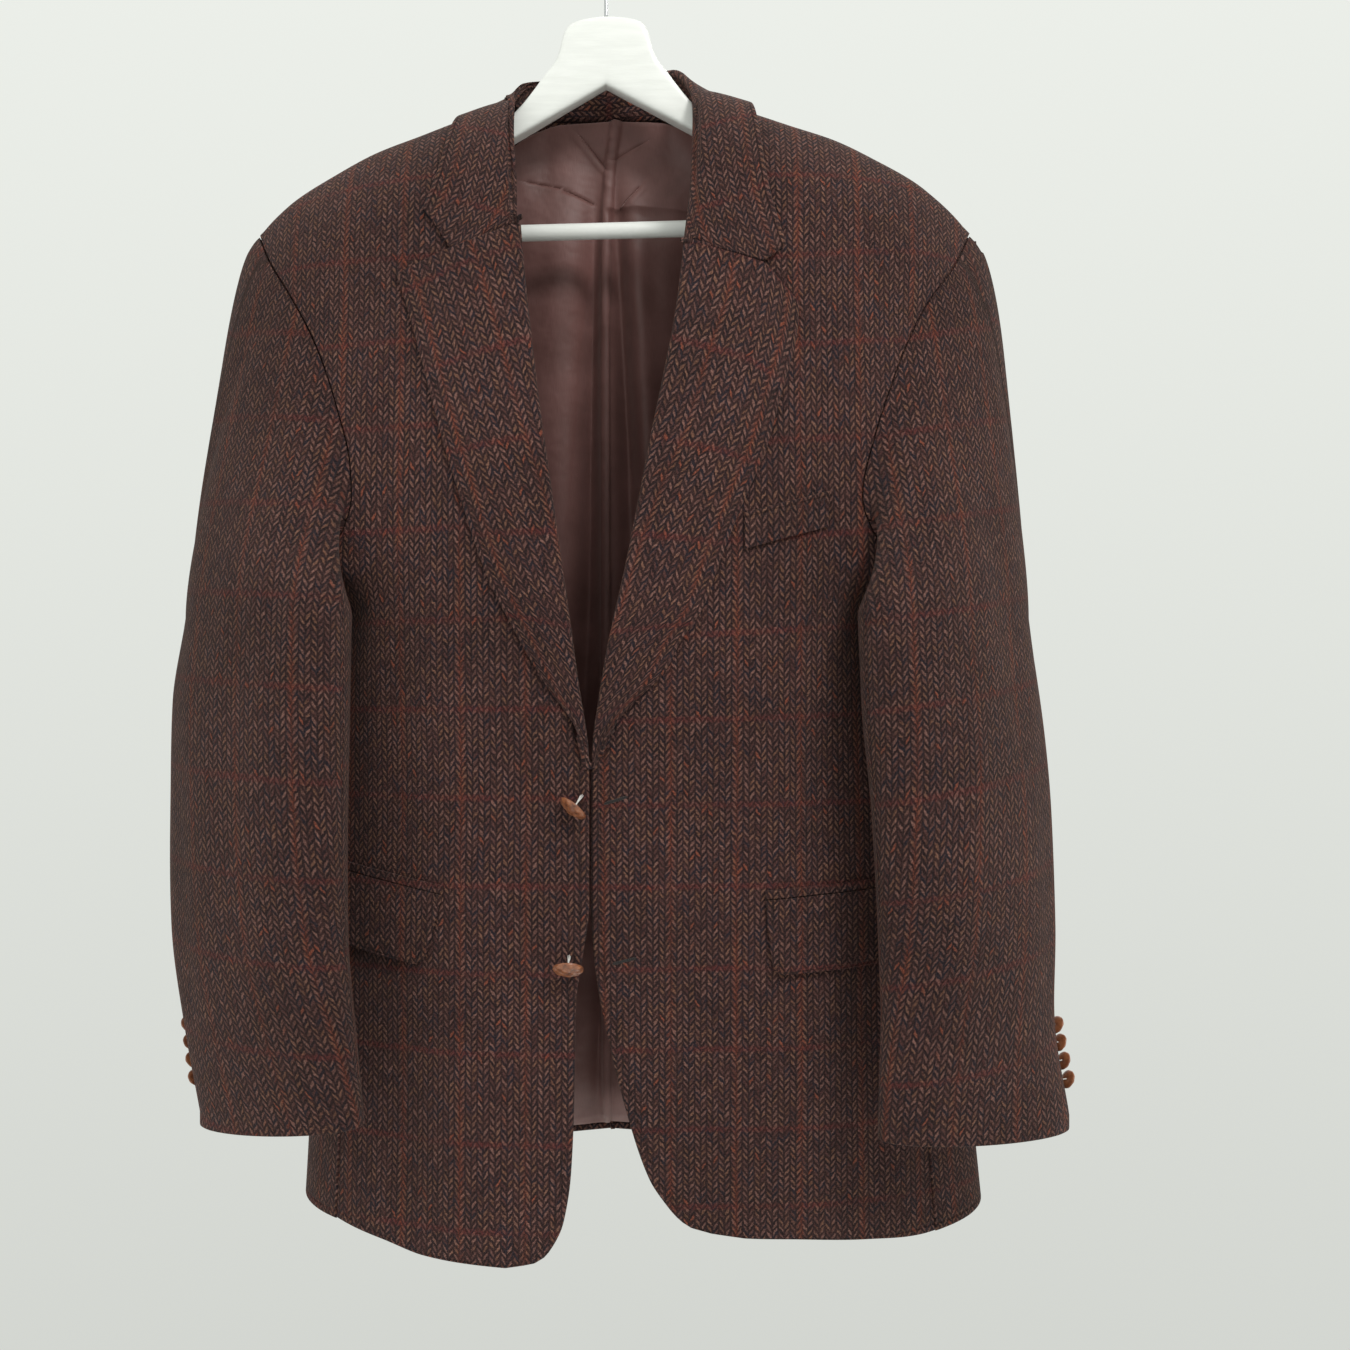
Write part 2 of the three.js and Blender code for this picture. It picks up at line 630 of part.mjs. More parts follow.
// v is 0 at the armhole, 1 at the top of the hanging part and 2 at the cuff.
function sleevePoint(side, turn, v) {
  const full = (turn + 360) % 360;
  const topZ = SLEEVE[side][0].z;
  if (v >= 1) {
    const cuff = CUFF[side];
    const lean = sleeveSection(side, turn, cuff.z).x * SIDES[side] - shape[side].sleeve.x(cuff.z);
    const cuffZ = cuff.z - cuff.slope * lean;
    return sleeveSection(side, turn, lerp(topZ, cuffZ, v - 1));
  }
  const under = smooth(200, 228, full) * (1 - smooth(315, 328, full));
  const slope = -0.35 - 0.4 * Math.max(Math.cos(THREE.MathUtils.degToRad(full)), 0) ** 2;
  const away = new THREE.Vector3(SIDES[side], 0, slope).normalize();
  const down = new THREE.Vector3(0, 0, -1);
  const start = armholePoint(side, full);
  const plan = new THREE.Vector3(start.x - SIDES[side] * BODY_AXIS.x, start.y - BODY_AXIS.y, 0).normalize();
  start.addScaledVector(away, 2 * (1 - under));
  start.addScaledVector(plan, 3 * under).addScaledVector(down, -1.2 * under);
  const end = sleeveSection(side, turn, topZ);
  const length = start.distanceTo(end);
  const leave = away.multiplyScalar(1 - under).addScaledVector(down, under).normalize();
  const tangent = leave.multiplyScalar(lerp(0.3 * length + SLEEVE_HEAD[side], 0.5 * length, under));
  const arrive = down.multiplyScalar(0.8 * length);
  const [v2, v3] = [v * v, v * v * v];
  return start.multiplyScalar(2 * v3 - 3 * v2 + 1).addScaledVector(tangent, v3 - 2 * v2 + v)
    .addScaledVector(end, 3 * v2 - 2 * v3).addScaledVector(arrive, v3 - v2);
}

const sleeveRows = [0, 0.1, 0.25, 0.42, 0.6, 0.8, 1, 1.2, 1.4, 1.6, 1.8, 2];
for (const side of Object.keys(SIDES)) {
  const { front, hind, hindCuff } = SLEEVE_SEAMS;
  const gap = 0.45; // degrees, half a seam
  const back = (v) => lerp(hind, hindCuff, v / 2);
  const top = (u, v) => sleevePoint(side, lerp(back(v) + gap, front - gap, u), v);
  const under = (u, v) => sleevePoint(side, lerp(front + gap, back(v) + 360 - gap, u), v);
  add(`top_sleeve_${side}`, wall(top, steps(12), sleeveRows, TWEED, SIDES[side]), tweed);
  add(`under_sleeve_${side}`, wall(under, steps(10), sleeveRows, TWEED, SIDES[side]), tweed);
}

// ---- Lapels and collar: each folds back on itself, round a fold of this radius ----
const FOLD_RADIUS = 3.5;
const FOLD_SHARE = { foot: 0.15, turned: 0.5 }; // of the way across: end of the inner leg, end of the turn
const LAPEL_V = { rollZ: -592, edgeZ: -577 }; // lower end of the lapel
const EDGE_LIFT = 3.6; // visible face of a lapel above the panel it lies on, at its outer edge
const COLLAR_LIFT = 6.9;
const BELLY = 2.5;

const foldAngle = (w) => {
  const { foot, turned } = FOLD_SHARE;
  return lerp(-Math.PI / 2, Math.PI / 2, (w - foot) / (turned - foot));
};

// How far along the lapel's top edge the notch lies.
function notchShare(side) {
  const start = COLLAR[side].at(-1).x + FOLD_RADIUS;
  return (NOTCH[side].x - start) / (LAPEL_EDGE[side].at(-1).x - start);
}

function lapelPoint(side, w, v) {
  const s = shape[side];
  const gorge = COLLAR[side].at(-1);
  const rollZ = lerp(LAPEL_V.rollZ, gorge.z, v);
  const foldX = s.edge(rollZ);
  const faceY = bodyPoint(side, -1, foldX + LAPEL_TUCK, rollZ).y + TWEED;
  const { foot, turned } = FOLD_SHARE;
  if (w <= foot) {
    const footX = frontInner(side, rollZ) - 2;
    const x = lerp(footX, foldX + FOLD_RADIUS, w / foot);
    return new THREE.Vector3(SIDES[side] * x, faceY, rollZ);
  }
  if (w <= turned) {
    const angle = foldAngle(w);
    const x = foldX + FOLD_RADIUS * (1 - Math.cos(angle));
    return new THREE.Vector3(SIDES[side] * x, faceY - FOLD_RADIUS * (1 + Math.sin(angle)), rollZ);
  }
  const k = (w - turned) / (1 - turned);
  const tip = LAPEL_EDGE[side].at(-1);
  const edgeZ = lerp(LAPEL_V.edgeZ, tip.z, v);
  const x = lerp(foldX + FOLD_RADIUS, s.lapel(edgeZ), k);
  const notchK = notchShare(side);
  const bend = NOTCH[side].z - lerp(gorge.z, tip.z, notchK);
  const hat = k < notchK ? k / notchK : (1 - k) / (1 - notchK);
  const z = lerp(rollZ, edgeZ, k) + bend * hat * v ** 4;
  const lift = lerp(2 * FOLD_RADIUS - TWEED, EDGE_LIFT, k) + BELLY * Math.sin(Math.PI * k) * Math.min(4 * v, 1);
  return new THREE.Vector3(SIDES[side] * x, bodyPoint(side, -1, x, z).y - lift, z);
}

// Lifts a point of the collar off the shoulder it lies on.
function liftOff(side, point, clearance) {
  const x = point.x * SIDES[side];
  const body = shape[side].body;
  const sideY = body.side(point.z);
  const facing = point.y < sideY ? -1 : 1;
  if (x < 60 && facing > 0) return point;
  const top = ridge(side, x) - SHOULDER_RADIUS;
  const reach = Math.abs(bodyPoint(side, facing, x, Math.min(point.z, top)).y - sideY);
  const up = Math.max(point.z - top, 0) / SHOULDER_RADIUS;
  const out = Math.abs(point.y - sideY) / reach;
  const size = Math.hypot(up, out);
  const support = size / Math.hypot(up / SHOULDER_RADIUS, out / reach);
  const scale = (1 + clearance / support) / size;
  if (scale <= 1) return point;
  point.y = sideY + facing * out * scale * reach;
  if (up > 0) point.z = top + up * scale * SHOULDER_RADIUS;
  return point;
}

// Foot of the collar's stand, along the neck seam and then behind the lapel.
const COLLAR_FOOT = [
  { t: 0, x: 0, y: 44.6, z: -113.2 },
  { t: 0.2, x: 27, y: 44.6, z: -114.2 },
  { t: 0.38, x: 48, y: 38, z: -115 },
  { t: 0.52, x: 63, y: 17, z: -116.5 },
  { t: 0.66, x: 73, y: -9, z: -121 },
  { t: 0.82, x: 67, y: -45, z: -164 },
  { t: 1, x: 60, y: -57, z: -230 },
];
const footOf = Object.fromEntries(["x", "y", "z"].map((key) => [key, column(COLLAR_FOOT, "t", key)]));

function collarSection(side, t, w) {
  const c = shape[side].collar;
  const sign = SIDES[side];
  const foldPoint = (at) => new THREE.Vector3(sign * c.x(at), c.y(at), c.z(at));
  const fold = foldPoint(t);
  const outer = new THREE.Vector3(sign * c.outX(t), c.outY(t), c.outZ(t));
  const run = foldPoint(Math.min(t + 0.01, 1)).sub(foldPoint(Math.max(t - 0.01, 0)));
  if (t < 0.02) run.set(sign, 0, 0);
  const along = outer.clone().sub(fold).normalize();
  const face = run.cross(along).normalize().multiplyScalar(sign);
  const centre = fold.clone().addScaledVector(along, FOLD_RADIUS);
  const { foot, turned } = FOLD_SHARE;
  if (w <= foot) {
    const start = new THREE.Vector3(sign * footOf.x(t), footOf.y(t), footOf.z(t));
    return start.lerp(centre.addScaledVector(face, -FOLD_RADIUS), w / foot);
  }
  if (w <= turned) {
    const angle = foldAngle(w);
    return centre.addScaledVector(along, -FOLD_RADIUS * Math.cos(angle))
      .addScaledVector(face, FOLD_RADIUS * Math.sin(angle));
  }
  const k = (w - turned) / (1 - turned);
  const leg = centre.addScaledVector(face, FOLD_RADIUS).lerp(outer, k);
  return leg.addScaledVector(face, BELLY * Math.sin(Math.PI * k));
}

const GORGE_GAP = 2.6;

// The collar's end lies along the lapel's top edge as far as the notch, and then runs up to its own tip.
function collarEnd(side, w) {
  const gorge = COLLAR[side].at(-1);
  const { turned } = FOLD_SHARE;
  const notchK = notchShare(side);
  const cornerW = 0.8;
  const gap = new THREE.Vector3(0, -0.5, GORGE_GAP);
  if (w <= turned) return lapelPoint(side, w, 1).add(gap);
  const k = Math.min((w - turned) / (cornerW - turned), 1);
  const corner = lapelPoint(side, turned + k * notchK * (1 - turned), 1).add(gap);
  if (w <= cornerW) return corner;
  const x = gorge.outX;
  const end = new THREE.Vector3(SIDES[side] * x, bodyPoint(side, -1, x, gorge.outZ).y - EDGE_LIFT, gorge.outZ);
  const point = corner.lerp(end, (w - cornerW) / (1 - cornerW));
  point.y = Math.min(point.y, bodyPoint(side, -1, point.x * SIDES[side], point.z).y - EDGE_LIFT);
  return point;
}

function collarPoint(t, w) {
  const side = t < 0 ? "left" : "right";
  const at = Math.min(Math.abs(t), 1);
  const point = collarSection(side, at, w).lerp(collarEnd(side, w), smooth(0.7, 1, at));
  return w > FOLD_SHARE.turned && at < 0.97 ? liftOff(side, point, COLLAR_LIFT) : point;
}

const turnColumns = [0, 0.15, 0.2375, 0.325, 0.4125, 0.5];
const foldRows = [...turnColumns, 0.6, 0.7, 0.8, 0.9, 1];
const lapelRows = steps(13);
for (const side of Object.keys(SIDES)) {
  const at = (w, v) => lapelPoint(side, w, v);
  const notch = notchShare(side);
  const legs = [notch / 3, (2 * notch) / 3, notch, (1 + notch) / 2, 1].map((k) => lerp(FOLD_SHARE.turned, 1, k));
  add(`lapel_${side}`, wall(at, [...turnColumns, ...legs], lapelRows, LAPEL_WALL, SIDES[side]), tweed);
}
const collarColumns = [0, 0.1, 0.2, 0.3, 0.38, 0.46, 0.54, 0.62, 0.7, 0.78, 0.85, 0.91, 0.96, 1];
const bothWays = [...collarColumns.slice(1).reverse().map((t) => -t), ...collarColumns];
add("collar", wall(collarPoint, bothWays, foldRows, LAPEL_WALL, 1), tweed);

// ---- What lies on the fronts: made from the panel's own points, moved out ----
function onFront(side, x, z, lift) {
  const point = bodyPoint(side, -1, x, z);
  const step = 0.5;
  const across = bodyPoint(side, -1, x + step, z).sub(bodyPoint(side, -1, x - step, z));
  const up = bodyPoint(side, -1, x, z + step).sub(bodyPoint(side, -1, x, z - step));
  return point.addScaledVector(across.cross(up).normalize().multiplyScalar(SIDES[side]), lift);
}

const patchColumns = [0, 0.06, 0.2, 0.35, 0.5, 0.65, 0.8, 0.92, 1];

// A flap hangs from its top edge (v = 1) to its bottom edge (v = 0), with a rounded inner corner.
function flapPoint(side, u, v) {
  const flap = FLAP[side];
  const down = 1 - v;
  const corner = Math.max(down - 0.8, 0) / 0.2;
  const round = 9 * (1 - Math.sqrt(Math.max(1 - corner * corner, 0)));
  const inner = flap.inner + flap.slant * down + round;
  const x = lerp(inner, flap.outer, u);
  const z = lerp(flap.innerZ, flap.outerZ, (x - flap.inner) / (flap.outer - flap.inner)) - flap.drop * down;
  return onFront(side, x, z, FLAP_WALL + PATCH_GAP + 2 * down);
}

function jettingPoint(side, u, v) {
  const flap = FLAP[side];
  const x = lerp(flap.inner, flap.outer, u);
  const z = lerp(flap.innerZ, flap.outerZ, u) + JETTING.gap + JETTING.height * v;
  return onFront(side, x, z, JETTING.wall + PATCH_GAP);
}

function weltPoint(u, v) {
  const x = lerp(WELT.inner, WELT.outer, u);
  return onFront("right", x, lerp(WELT.innerZ, WELT.outerZ, u) - WELT.drop * (1 - v), WELT.wall + PATCH_GAP);
}

const flapRows = [0, 0.02, 0.07, 0.15, 0.5, 1];
for (const side of Object.keys(SIDES)) {
  const sign = SIDES[side];
  add(`flap_${side}`, wall((u, v) => flapPoint(side, u, v), patchColumns, flapRows, FLAP_WALL, sign), tweed);
  const strip = (u, v) => jettingPoint(side, u, v);
  add(`jetting_${side}`, wall(strip, patchColumns, steps(1), JETTING.wall, sign), tweed);
}
add("breast_welt", wall(weltPoint, steps(4), steps(2), WELT.wall, 1), tweed);

// ---- Buttons: a domed disc turned on a lathe, with a thread shank that ends just short of the cloth ----
const LATHE_SIDES = 14;
function button(name, size, seat, thread, face) {
  const { radius, thickness, shank } = size;
  const profile = [
    [0, -1], [shank, -1], [shank, 0], [radius * 0.72, 0], [radius, thickness * 0.4],
    [radius * 0.92, thickness * 0.68], [radius * 0.6, thickness * 0.93], [0, thickness],
  ].map(([r, y]) => new THREE.Vector2(r, y));
  const mesh = add(name, new THREE.LatheGeometry(profile, LATHE_SIDES), leather);
  mesh.position.copy(seat);
  mesh.quaternion.setFromUnitVectors(new THREE.Vector3(0, 1, 0), face.clone().normalize());
  const end = thread.clone().sub(seat).applyQuaternion(mesh.quaternion.clone().invert());
  const position = mesh.geometry.attributes.position;
  for (let i = 0; i < position.count; i += 1) {
    if (position.getY(i) > -0.5) continue;
    position.setXYZ(i, position.getX(i) + end.x, end.y, position.getZ(i) + end.z);
  }
}

const SHANK_CLEARANCE = 0.4;
for (const [name, place] of Object.entries(FRONT_BUTTONS)) {
  const face = new THREE.Vector3(place.faceX, place.faceY, place.faceZ).normalize();
  const seat = onFront("left", place.x, place.z, 0);
  seat.y -= place.out;
  const thread = onFront("left", place.threadX, place.threadZ, SHANK_CLEARANCE + FRONT_BUTTON.shank * 0.9);
  button(`front_button_${name}`, FRONT_BUTTON, seat, thread, face);
}

// Cuff buttons overlap like shingles, so each one is tilted downwards.
const CUFF_CLEARANCE = { left: [0.6, 1.1, 1.6, 1.6], right: [0.8, 0.8, 0.8, 0.3] };
for (const side of Object.keys(SIDES)) {
  for (let i = 0; i < CUFF_BUTTON_ROW.count; i += 1) {
    const z = CUFF_BUTTON_ROW.top - CUFF_BUTTON_ROW.pitch * i;
    const turn = CUFF_BUTTON_ROW.turn[side];
    const cloth = sleeveSection(side, turn, z);
    const round = sleeveSection(side, turn + 1, z).sub(sleeveSection(side, turn - 1, z));
    const down = sleeveSection(side, turn, z - 1).sub(sleeveSection(side, turn, z + 1));
    const normal = round.cross(down).normalize().multiplyScalar(SIDES[side]);
    const tilt = THREE.MathUtils.degToRad(CUFF_BUTTON.tilt);
    const face = normal.clone().multiplyScalar(Math.cos(tilt)).add(new THREE.Vector3(0, 0, -Math.sin(tilt)));
    const seat = cloth.clone().addScaledVector(normal, CUFF_BUTTON.out);
    const thread = cloth.clone().addScaledVector(normal, CUFF_CLEARANCE[side][i] + CUFF_BUTTON.shank * 0.5);
    button(`cuff_button_${side}_${i + 1}`, CUFF_BUTTON, seat, thread, face);
  }
}

// ---- Back lining, with its centre pleat ----
function liningPoint(u, v) {
  const side = u < 0 ? "left" : "right";
  const x = Math.abs(backPoint(side, Math.abs(u), 1).x);
  const topV = lerp(LINING.neckV, LINING.shoulderV, smooth(35, 80, x));
  const row = v <= 1.25 ? v : lerp(1.25, topV, (v - 1.25) / 0.75);
  const point = backPoint(side, Math.abs(u), row);
  if (u === 0) point.x = 0;
  point.y -= TWEED * 1.15 + LINING.gap + LINING.pleat * Math.exp(-((x / LINING.pleatWidth) ** 2));
  return point;
}
const liningHalf = [0, 0.02, 0.04, 0.08, 0.16, 0.34, 0.52, 0.7, 0.86];
const liningColumns = [...liningHalf.slice(1).reverse().map((u) => -u), ...liningHalf];
const liningRows = [LINING.hemV, 0.08, 0.23, 0.39, 0.52, UNDERARM_V, 0.79, 0.93, 1, 1.25, 1.5, 1.75, 2];
add("back_lining", wall(liningPoint, liningColumns, liningRows, LINING_WALL, -1), satin);

// ---- Hanger: a shaped wooden shoulder with a bar between its arms, and a wire hook ----
const hangerYoke = column(HANGER_TOP, "x", "z");
const hangerTop = (x) => (x < 105 ? hangerYoke(x) : shoulderLine(x) - HANGER.seat);

function hangerShoulder() {
  const arm = [120, 136, 152, 168, HANGER.socketX, HANGER.socketX + 1, HANGER.endX, 209, HANGER.tip];
  const outward = [...HANGER_TOP.map((row) => row.x), ...arm];
  const xs = [...outward.slice(1).reverse().map((x) => -x), ...outward];
  const rim = steps(12).slice(1).map((t) => 2 * Math.PI * t);
  const positions = [];
  for (const x of xs) {
    const away = Math.abs(x);
    const rounded = 14 * (Math.max(away - HANGER.endX, 0) / (HANGER.tip - HANGER.endX)) ** 2;
    const top = hangerTop(away) - rounded;
    const bottom = (away > HANGER.socketX ? HANGER.socketZ : HANGER.notchZ - HANGER.slope * away) + rounded;
    const middle = (top + bottom) / 2;
    const half = (top - bottom) / 2;
    for (const angle of rim) {
      const y = HANGER.half * Math.sign(Math.sin(angle)) * Math.abs(Math.sin(angle)) ** 0.8;
      const z = middle + half * Math.sign(Math.cos(angle)) * Math.abs(Math.cos(angle)) ** 0.6;
      positions.push(x, y, z + x * TILT);
    }
  }
  const n = rim.length;
  const index = [];
  for (let i = 0; i + 1 < xs.length; i += 1) {
    for (let j = 0; j < n; j += 1) {
      const [a, b] = [i * n + j, i * n + ((j + 1) % n)];
      index.push(a, a + n, b + n, a, b + n, b);
    }
  }
  const last = (xs.length - 1) * n;
  for (let j = 1; j + 1 < n; j += 1) {
    index.push(0, j, j + 1);
    index.push(last, last + j + 1, last + j);
  }
  const geometry = new THREE.BufferGeometry();
  geometry.setAttribute("position", new THREE.Float32BufferAttribute(positions, 3));
  geometry.setIndex(index);
  geometry.computeVertexNormals();
  return geometry;
}
add("hanger_shoulder", hangerShoulder(), paintedWood);

const barLength = 2 * (HANGER.socketX - 0.6);
const bar = add("hanger_bar", new THREE.CylinderGeometry(HANGER_BAR.radius, HANGER_BAR.radius, barLength, 20), paintedWood);
bar.position.z = HANGER_BAR.z;
bar.rotation.z = Math.PI / 2;
bar.rotation.order = "YXZ";
bar.rotation.y = -Math.atan(TILT);

const hookPath = new THREE.CurvePath();
const hookTop = HOOK.wire; // the rail bears on the inside of the loop, at the origin
const centreZ = hookTop - HOOK.loop;
const loopPoints = [-150, -120, -90, -60, -30, 0, 30, 60, 90, 112].map((degrees) => {
  const angle = THREE.MathUtils.degToRad(degrees);
  return new THREE.Vector3(HOOK.loop * Math.sin(angle), 0, centreZ + HOOK.loop * Math.cos(angle));
});
const neck = new THREE.Vector3(0, 0, centreZ - HOOK.loop - 8);
hookPath.add(new THREE.LineCurve3(new THREE.Vector3(0, 0, HOOK.foot), neck));
hookPath.add(new THREE.CatmullRomCurve3([neck, ...loopPoints], false, "centripetal"));
const wireSection = new THREE.Shape().absarc(0, 0, HOOK.wire, 0, 2 * Math.PI);
const wire = new THREE.ExtrudeGeometry(wireSection, { steps: 36, curveSegments: 5, extrudePath: hookPath });
add("hanger_hook", wire, steel);

export default jacket;
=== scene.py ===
# A tweed hacking jacket on a wooden hanger: cloth, lining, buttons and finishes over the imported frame.
import math
from functools import partial

import bpy
import numpy as np
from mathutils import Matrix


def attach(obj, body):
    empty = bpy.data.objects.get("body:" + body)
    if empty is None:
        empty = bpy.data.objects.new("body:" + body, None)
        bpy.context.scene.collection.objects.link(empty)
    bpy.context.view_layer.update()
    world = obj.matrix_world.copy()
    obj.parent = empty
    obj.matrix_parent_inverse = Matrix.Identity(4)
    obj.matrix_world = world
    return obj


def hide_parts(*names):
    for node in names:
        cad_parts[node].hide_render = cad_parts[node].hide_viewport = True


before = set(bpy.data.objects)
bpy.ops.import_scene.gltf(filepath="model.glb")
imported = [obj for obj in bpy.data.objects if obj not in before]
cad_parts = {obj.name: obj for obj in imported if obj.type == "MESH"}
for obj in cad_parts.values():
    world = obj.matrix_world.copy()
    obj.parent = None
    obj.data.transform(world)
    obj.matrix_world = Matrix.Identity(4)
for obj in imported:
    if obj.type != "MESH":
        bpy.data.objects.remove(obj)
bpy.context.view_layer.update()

# ---- Driving dimensions, the same as the CAD's, in millimetres ----
MM = 0.001
SEAM = 0.5
TILT = math.tan(math.radians(1.6))
FRONT_SEAM, BACK_SEAM = 0.85, 0.88
FRONT_POWER, BACK_POWER = 2.4, 4.0
SHOULDER_RADIUS = 70.0
UNDERARM_Z = -462.0
SLEEVE_GAP = 8.0
TWEED, LAPEL_WALL, LINING_WALL = 2.6, 2.8, 1.0
SIDES = {"left": -1.0, "right": 1.0}

# Body sections: z, half width, then y of the front, side and back.
BODY = {
    "left": [
        (-120, 266, -50, 0, 47), (-250, 266, -62, 0, 62), (-350, 258, -73, 2, 70), (-460, 246, -79, 8, 74),
        (-550, 236, -79, 18, 74), (-650, 228, -77, 26, 75), (-750, 224, -75, 28, 78),
        (-850, 224, -77, 26, 82), (-955, 228, -81, 22, 85),
    ],
    "right": [
        (-120, 280, -50, 0, 47), (-250, 276, -62, 0, 62), (-350, 266, -73, 2, 70), (-460, 256, -78, 8, 74),
        (-550, 252, -77, 18, 74), (-650, 256, -73, 26, 75), (-750, 264, -67, 28, 78),
        (-850, 274, -61, 26, 82), (-955, 284, -56, 22, 85),
    ],
}
# Shoulder line: distance from the centre, height.
SHOULDER = [
    (0, -114), (40, -116), (70, -120), (82, -122.5), (105, -129.5), (135, -140), (168, -151.5),
    (200, -167.5), (227, -183), (244, -196.5), (257, -208.5), (272, -224),
]
# Front edge, and above the break the roll line: z, distance from the centre.
FRONT_EDGE = {
    "left": [
        (-949, 66), (-945, 45), (-938, 36), (-917, 25.5), (-884, 20.5), (-837, 18.5), (-771, 17.6),
        (-734, 12.4), (-700, 8.2), (-603, 8), (-540, 16), (-439, 30), (-326, 46), (-223, 57), (-162, 60),
        (-128, 70),
    ],
    "right": [
        (-938, 100), (-932, 66), (-926, 56), (-913, 44.5), (-895, 33), (-854, 19), (-802, 6), (-743, -4.8),
        (-700, -7.4), (-603, -6.7), (-540, 1), (-459, 18), (-376, 34), (-281, 52), (-190, 62), (-128, 70),
    ],
}
# Armhole: z, distance from the centre.
ARM_FRONT = {
    "left": [
        (-459, 209), (-452, 196), (-440, 184), (-415, 177), (-393, 178), (-350, 188.5), (-307, 204),
        (-267, 226), (-243, 242), (-215, 257),
    ],
    "right": [
        (-459, 217.6), (-452, 204), (-440, 191), (-415, 183), (-372, 192), (-336, 204), (-307, 215),
        (-276, 231), (-245, 253), (-213, 270),
    ],
}
ARM_BACK = {
    "left": [(-459, 216.5), (-430, 215), (-390, 217), (-340, 222), (-290, 232), (-255, 243), (-215, 257)],
    "right": [(-459, 225.3), (-430, 224), (-390, 226), (-340, 231), (-290, 242), (-255, 254), (-213, 270)],
}
SHOULDER_POINT = {"left": 257.0, "right": 270.0}
NECK_POINT = 82.0
# The sleeve's seam: turn round the sleeve in degrees, height.
SLEEVE_SEAM = [
    (0, -213), (30, -243), (60, -278), (90, -316), (120, -352), (150, -388), (178, -420), (196, -440),
    (212, -452), (228, -459), (315, -459), (324, -425), (334, -375), (343, -310), (352, -258), (360, -213),
]
UNDERARM_TURNS = (228.0, 286.0, 315.0)
# Sleeve sections: z, centre x, centre y, half axes a and b, swing of the long axis.
SLEEVE = {
    "left": [
        (-500, 240.4, -40, 84, 42, 42), (-560, 244, -46, 86, 41, 38), (-640, 242.5, -56, 84, 40, 37),
        (-720, 239, -66, 81, 36, 34), (-790, 229, -74, 73, 32, 28), (-845, 219.4, -80, 67, 27, 24),
    ],
    "right": [
        (-500, 244.5, -40, 84, 42, 43), (-560, 248.5, -46, 84, 42, 40), (-640, 254, -56, 80, 40, 36),
        (-720, 255.5, -66, 76, 36, 32), (-790, 254, -75, 69, 32, 24), (-845, 256.3, -82, 70, 27, 14),
    ],
}
CUFF = {"left": (-849, 0.1), "right": (-855, 0.01)}
# Front hem: distance from the centre, height.
HEM = {
    "left": [(50, -949), (88, -947), (124, -945), (155, -938), (183, -932.5), (200, -929), (228, -924)],
    "right": [(60, -928), (106, -934), (142, -936.5), (191, -942), (230, -945), (259, -942), (284, -934)],
}
BACK_HEM_SEAM, BACK_HEM_CENTRE, HEM_LEVEL = -922.0, -902.0, -930.0
SIDE_HALF_WIDTH = 60.0
# Flaps: inner x, outer x, inner z, outer z, drop, slant.
FLAP = {"left": (110, 214, -694, -676, 52, 13), "right": (114, 246, -698, -690, 53, 5)}
FLAP_WALL = 2.0
PATCH_GAP = 1.1
WELT = (99, 158, -429, -412, 25)
WELT_WALL = 1.8
JETTING_HEIGHT, JETTING_GAP, JETTING_WALL = 6.0, 0.8, 1.4
# Collar from the middle of the back: t, then the fold and the outer edge.
COLLAR = {
    "left": [
        (0, 0, 44, -80, 0, 58, -133), (0.2, 27, 41, -81, 36, 56, -133), (0.38, 47, 31, -85, 72, 48, -131),
        (0.52, 59, 14, -96, 95, 26, -128), (0.66, 63, -14, -120, 107, -8, -128),
        (0.82, 61, -46, -160, 113, -52, -176), (1, 54, -58, -226, 127, -60, -213),
    ],
    "right": [
        (0, 0, 44, -80, 0, 58, -133), (0.2, 27, 41, -78, 36, 56, -131), (0.38, 48, 31, -80, 71, 48, -128),
        (0.52, 57, 14, -94, 94, 24, -123), (0.66, 63, -14, -118, 106, -8, -125),
        (0.82, 64, -47, -166, 112, -52, -180), (1, 57, -58, -238, 129, -60, -239),
    ],
}
COLLAR_FOOT = [
    (0, 0, 44.6, -113.2), (0.2, 27, 44.6, -114.2), (0.38, 48, 38, -115), (0.52, 63, 17, -116.5),
    (0.66, 73, -9, -121), (0.82, 67, -45, -164), (1, 60, -57, -230),
]
NOTCH = {"left": (105, -243), "right": (113, -253)}
# Outer edge of each lapel, from the break to the tip: z, distance from the centre.
LAPEL_EDGE = {
    "left": [
        (-603, 5), (-596, 7.1), (-575, 17.4), (-552, 35.2), (-506, 62), (-471, 79.3), (-425, 95.3),
        (-382, 109.1), (-325, 125), (-283, 137), (-260, 144.7),
    ],
    "right": [
        (-603, -9), (-586, 1), (-561, 22.3), (-540, 43.5), (-517, 55.8), (-494, 70.9), (-460, 83.2),
        (-427, 96.3), (-382, 115.2), (-351, 123.7), (-301, 136.7), (-281, 138.4),
    ],
}
# Folds of the fronts: x, z, lean, width, length, depth. The first three on each side are the CAD's.
FOLDS = {
    "left": [
        (150, -520, 0.04, 30, 210, 6), (92, -800, -0.05, 30, 150, -3), (140, -870, 0.1, 30, 110, 4),
    ],
    "right": [
        (158, -500, 0.02, 28, 180, 6), (70, -800, 0.06, 28, 150, 3), (150, -870, -0.08, 36, 110, -3),
    ],
}
